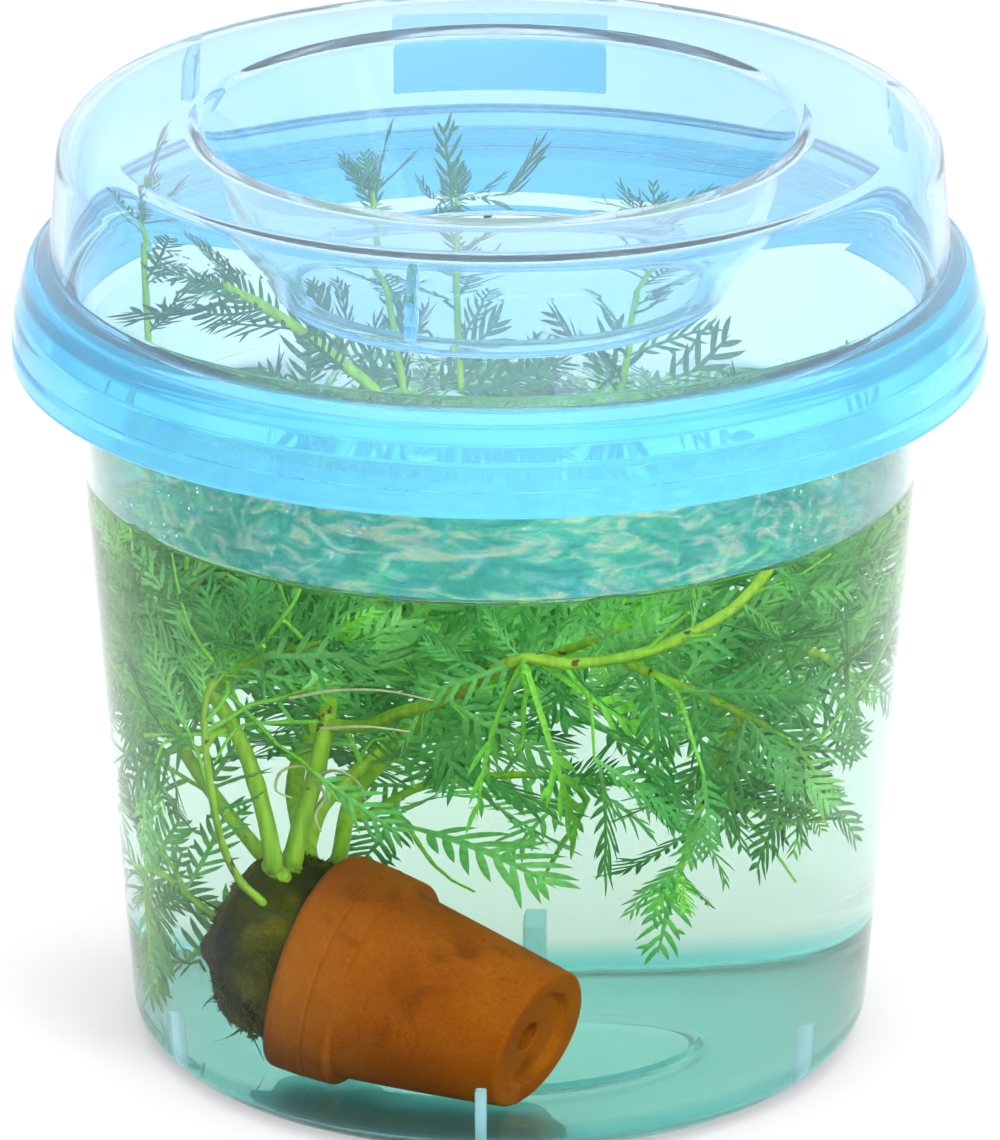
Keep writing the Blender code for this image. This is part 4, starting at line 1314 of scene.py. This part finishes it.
def make_drops(material):
    """Small drops on the dry part of the inner wall."""
    rng = random.Random(31)
    batch = Batch()
    up = Vector((0, 0, 1))
    for _ in range(DROPS):
        turn = -math.pi / 2 + DROP_HALF_TURN * rng.uniform(-1, 1)
        z = rng.uniform(WATER_LEVEL + 3.0, TUB_LIP_Z)
        size = DROP_SIZE + DROP_GROWTH * rng.random() ** 3
        out = Vector((math.cos(turn), math.sin(turn), 0))
        across = Vector((-out.y, out.x, 0))
        foot = out * (wall_radius(z) - MIST_INNER + 0.02) + up * z
        verts = []
        for k in range(DROP_RINGS):
            tall = size * math.cos(math.pi / 2 * k / DROP_RINGS)
            deep = 0.62 * size * math.sin(math.pi / 2 * k / DROP_RINGS)
            for c in range(DROP_SIDES):
                angle = 2 * math.pi * c / DROP_SIDES
                spot = across * math.cos(angle) * tall + up * math.sin(angle) * tall * 1.2
                verts.append(foot + spot - out * deep)
        verts.append(foot - out * 0.66 * size)
        batch.add(np.array(verts), pointed_faces(DROP_RINGS, DROP_SIDES), 0.0, 0)
    finish_clear(batch.make("mist_drops", [material]), "water")


def water_lift(x, y, z):
    """Height of the still surface over its level: the climb at the wall and a few soft swells."""
    if z < WATER_LEVEL - 0.01:
        return 0.0
    r = math.hypot(x, y)
    edge = wall_radius(WATER_LEVEL) - TUB_WALL
    climb = MENISCUS
    turn = math.atan2(x, -y)
    for centre, height, spread in SURFACE_BUMPS:
        climb += height * math.exp(-((turn - centre) / spread) ** 2)
    swell = 0.22 * noise.noise(Vector((x * 0.035, y * 0.035, 0.0)))
    swell += 0.07 * noise.noise(Vector((x * 0.16, y * 0.16, 3.0)))
    for px, py, height in EMERGENT:
        swell += height * math.exp(-math.hypot(x - px, y - py) / 2.4)
    return climb * math.exp(-max(edge - r, 0.0) / 1.9) + swell * min(1.0, max(edge - r, 0.0) / 3.0)


def make_water(material):
    """The water from the tub's floor to its surface, which is cut into rings near the wall."""
    wet_wall = TUB_WALL - WATER_OVERLAP
    top_r = wall_radius(WATER_LEVEL) - wet_wall
    disc_z = TUB_FLOOR + TUB_DISC_RISE - WATER_OVERLAP
    corners = [
        (0.0, disc_z, 0),
        (TUB_DISC_R - 0.1, disc_z, 0.8),
        (TUB_DISC_R + 1.2, TUB_FLOOR - WATER_OVERLAP, 0.8),
        (wall_radius(TUB_FLOOR) - wet_wall, TUB_FLOOR - WATER_OVERLAP, 6.0),
        (wall_radius(WATER_LEVEL - 1.0) - wet_wall, WATER_LEVEL - 1.0, 0),
    ]
    outline = rounded(corners, False)
    outline += [(top_r, WATER_LEVEL)]
    outline += [(top_r - step, WATER_LEVEL) for step in (0.2, 0.4, 0.7, 1.1, 1.6, 2.3, 3.2, 4.4, 6.0)]
    inner = top_r - 6.0
    outline += [(inner * (1 - k / 40), WATER_LEVEL) for k in range(1, 40)]
    outline += [(0.0, WATER_LEVEL)]
    water = lathe("still_water", outline, False, [material], water_lift)
    finish_clear(water, "water", "water")


# Stage

def make_floor():
    bm = bmesh.new()
    bmesh.ops.create_grid(bm, x_segments=2, y_segments=2, size=FLOOR_HALF)
    made, tree, shader = look("pale_floor", 0.9, 0.1)
    tint = mottle(tree, [(0.3, (0.76, 0.76, 0.76)), (0.7, (0.78, 0.78, 0.78))], 3.0, 2.0)
    tree.links.new(tint, shader.inputs["Base Color"])
    floor = new_object("floor", mesh_of(bm, "floor"), [made])
    floor.location.z = -FLOOR_DROP


def make_world():
    """Soft light from all round, brightest behind and a little blue in front."""
    world = bpy.data.worlds.new("soft_studio")
    bpy.context.scene.world = world
    world.use_nodes = True
    tree = world.node_tree
    back = tree.nodes["Background"]
    shade = ramp(tree, rescale(tree, coordinate(tree, "Y", "Generated"), -1.0, 1.0),
                 [(0.0, (0.68, 0.71, 0.76)), (0.45, (0.82, 0.86, 0.90)), (0.8, (1.0, 1.0, 1.0))])
    tree.links.new(shade, back.inputs["Color"])
    back.inputs["Strength"].default_value = WORLD_STRENGTH


def add_softbox(name, spot, aim, size, energy, mirrored):
    """A soft lamp aimed at a point. Unless it is mirrored, it stays out of reflections."""
    data = bpy.data.lights.new(name, "AREA")
    data.shape = "RECTANGLE"
    data.size, data.size_y = size
    data.energy = energy
    lamp = bpy.data.objects.new(name, data)
    bpy.context.scene.collection.objects.link(lamp)
    lamp.visible_glossy = mirrored
    lamp.location = spot
    lamp.rotation_euler = (Vector(aim) - Vector(spot)).to_track_quat("-Z", "Y").to_euler()


def make_camera():
    data = bpy.data.cameras.new("camera")
    data.sensor_fit = "VERTICAL"
    data.sensor_height = SENSOR
    data.lens = SENSOR * CAMERA_PIXELS / IMAGE_HEIGHT
    data.shift_y = AIM_BELOW_CENTRE / IMAGE_HEIGHT
    data.clip_end = 20.0
    camera = bpy.data.objects.new("camera", data)
    bpy.context.scene.collection.objects.link(camera)
    rise = math.radians(CAMERA_RISE)
    aim = Vector((0, 0, AIM_Z * MM))
    camera.location = aim + Vector((0, -math.cos(rise), math.sin(rise))) * CAMERA_DISTANCE
    camera.rotation_euler = (aim - camera.location).to_track_quat("-Z", "Y").to_euler()
    bpy.context.scene.camera = camera


def main():
    make_camera()
    make_world()
    make_floor()
    for lamp in LAMPS:
        add_softbox(*lamp)
    fine = (35.0, 0.06, (1, 1, 0.4))
    rippled = (60.0, 0.1, (1, 1, 1))
    make_tub(
        clear_look("clear_tub_plastic", (0.94, 0.98, 0.97), PLASTIC_IOR, 0.02,
                   soak=((0.0, 0.72, 0.66), 30.0), bump=fine, foot_tint=(0.30, 0.80, 0.84)),
        clear_look("tub_fin_plastic", (0.62, 0.90, 0.95), TUB_FIN_IOR, 0.1, 0.05, 0.55,
                   soak=((0.0, 0.80, 0.86), 60.0), bump=rippled))
    collar = clear_look("blue_collar_plastic", (0.22, 0.70, 1.0), COLLAR_IOR, 0.5, 0.03, 0.72,
                        bump=fine, drift=(0.18, 0.64, 0.97))
    make_lid(
        clear_look("blue_lid_plastic", (0.67, 0.86, 0.990), LID_IOR, 0.5, 0.0, 0.92,
                   drift=(0.60, 0.83, 0.985)),
        collar,
        clear_look("lid_fin_plastic", (0.45, 0.80, 1.0), PLASTIC_IOR, 0.5, 0.05, bump=rippled))
    make_lid_pad(collar)
    make_water(clear_look("clear_water", (1.0, 1.0, 1.0), WATER_IOR, 0.08, soak=((0.42, 0.64, 0.40), 4.6)))
    make_mist(mist_look("mist_film"))
    make_drops(clear_look("mist_drop", (0.9, 0.98, 0.97), DROP_IOR, 0.6, soak=((0.5, 0.9, 0.9), 5.0)))
    make_pot(terracotta_look())
    make_plug(moss_look("plug_core", (0.014, 0.020, 0.0), (0.060, 0.078, 0.0), (0.20, 0.19, 0.0)))
    make_moss(moss_look("moss_hair", (0.024, 0.034, 0.0), (0.085, 0.105, 0.0), (0.20, 0.21, 0.002)))
    make_plant([
        stem_look(),
        leaf_look("leaf_green", (0.21, 0.70, 0.18), (0.38, 0.96, 0.28), (0.06, 0.38, 0.09)),
        leaf_look("young_leaf_green", (0.24, 0.78, 0.08), (0.36, 0.95, 0.12), (0.14, 0.62, 0.08)),
        leaf_look("air_leaf_green", (0.055, 0.26, 0.13), (0.10, 0.42, 0.19), (0.03, 0.17, 0.09)),
        leaf_look("pale_root", (0.60, 0.66, 0.30), (0.80, 0.82, 0.50), (0.55, 0.50, 0.25)),
    ])
    scene = bpy.context.scene
    scene.view_settings.view_transform = "Standard"
    scene.cycles.use_denoising = True
    scene.cycles.max_bounces = 26
    scene.cycles.diffuse_bounces = 3
    scene.cycles.transmission_bounces = 26
    scene.cycles.glossy_bounces = 14
    scene.cycles.adaptive_threshold = 0.2
    scene.cycles.caustics_reflective = False
    scene.cycles.caustics_refractive = False
    scene.cycles.transparent_max_bounces = 24


main()
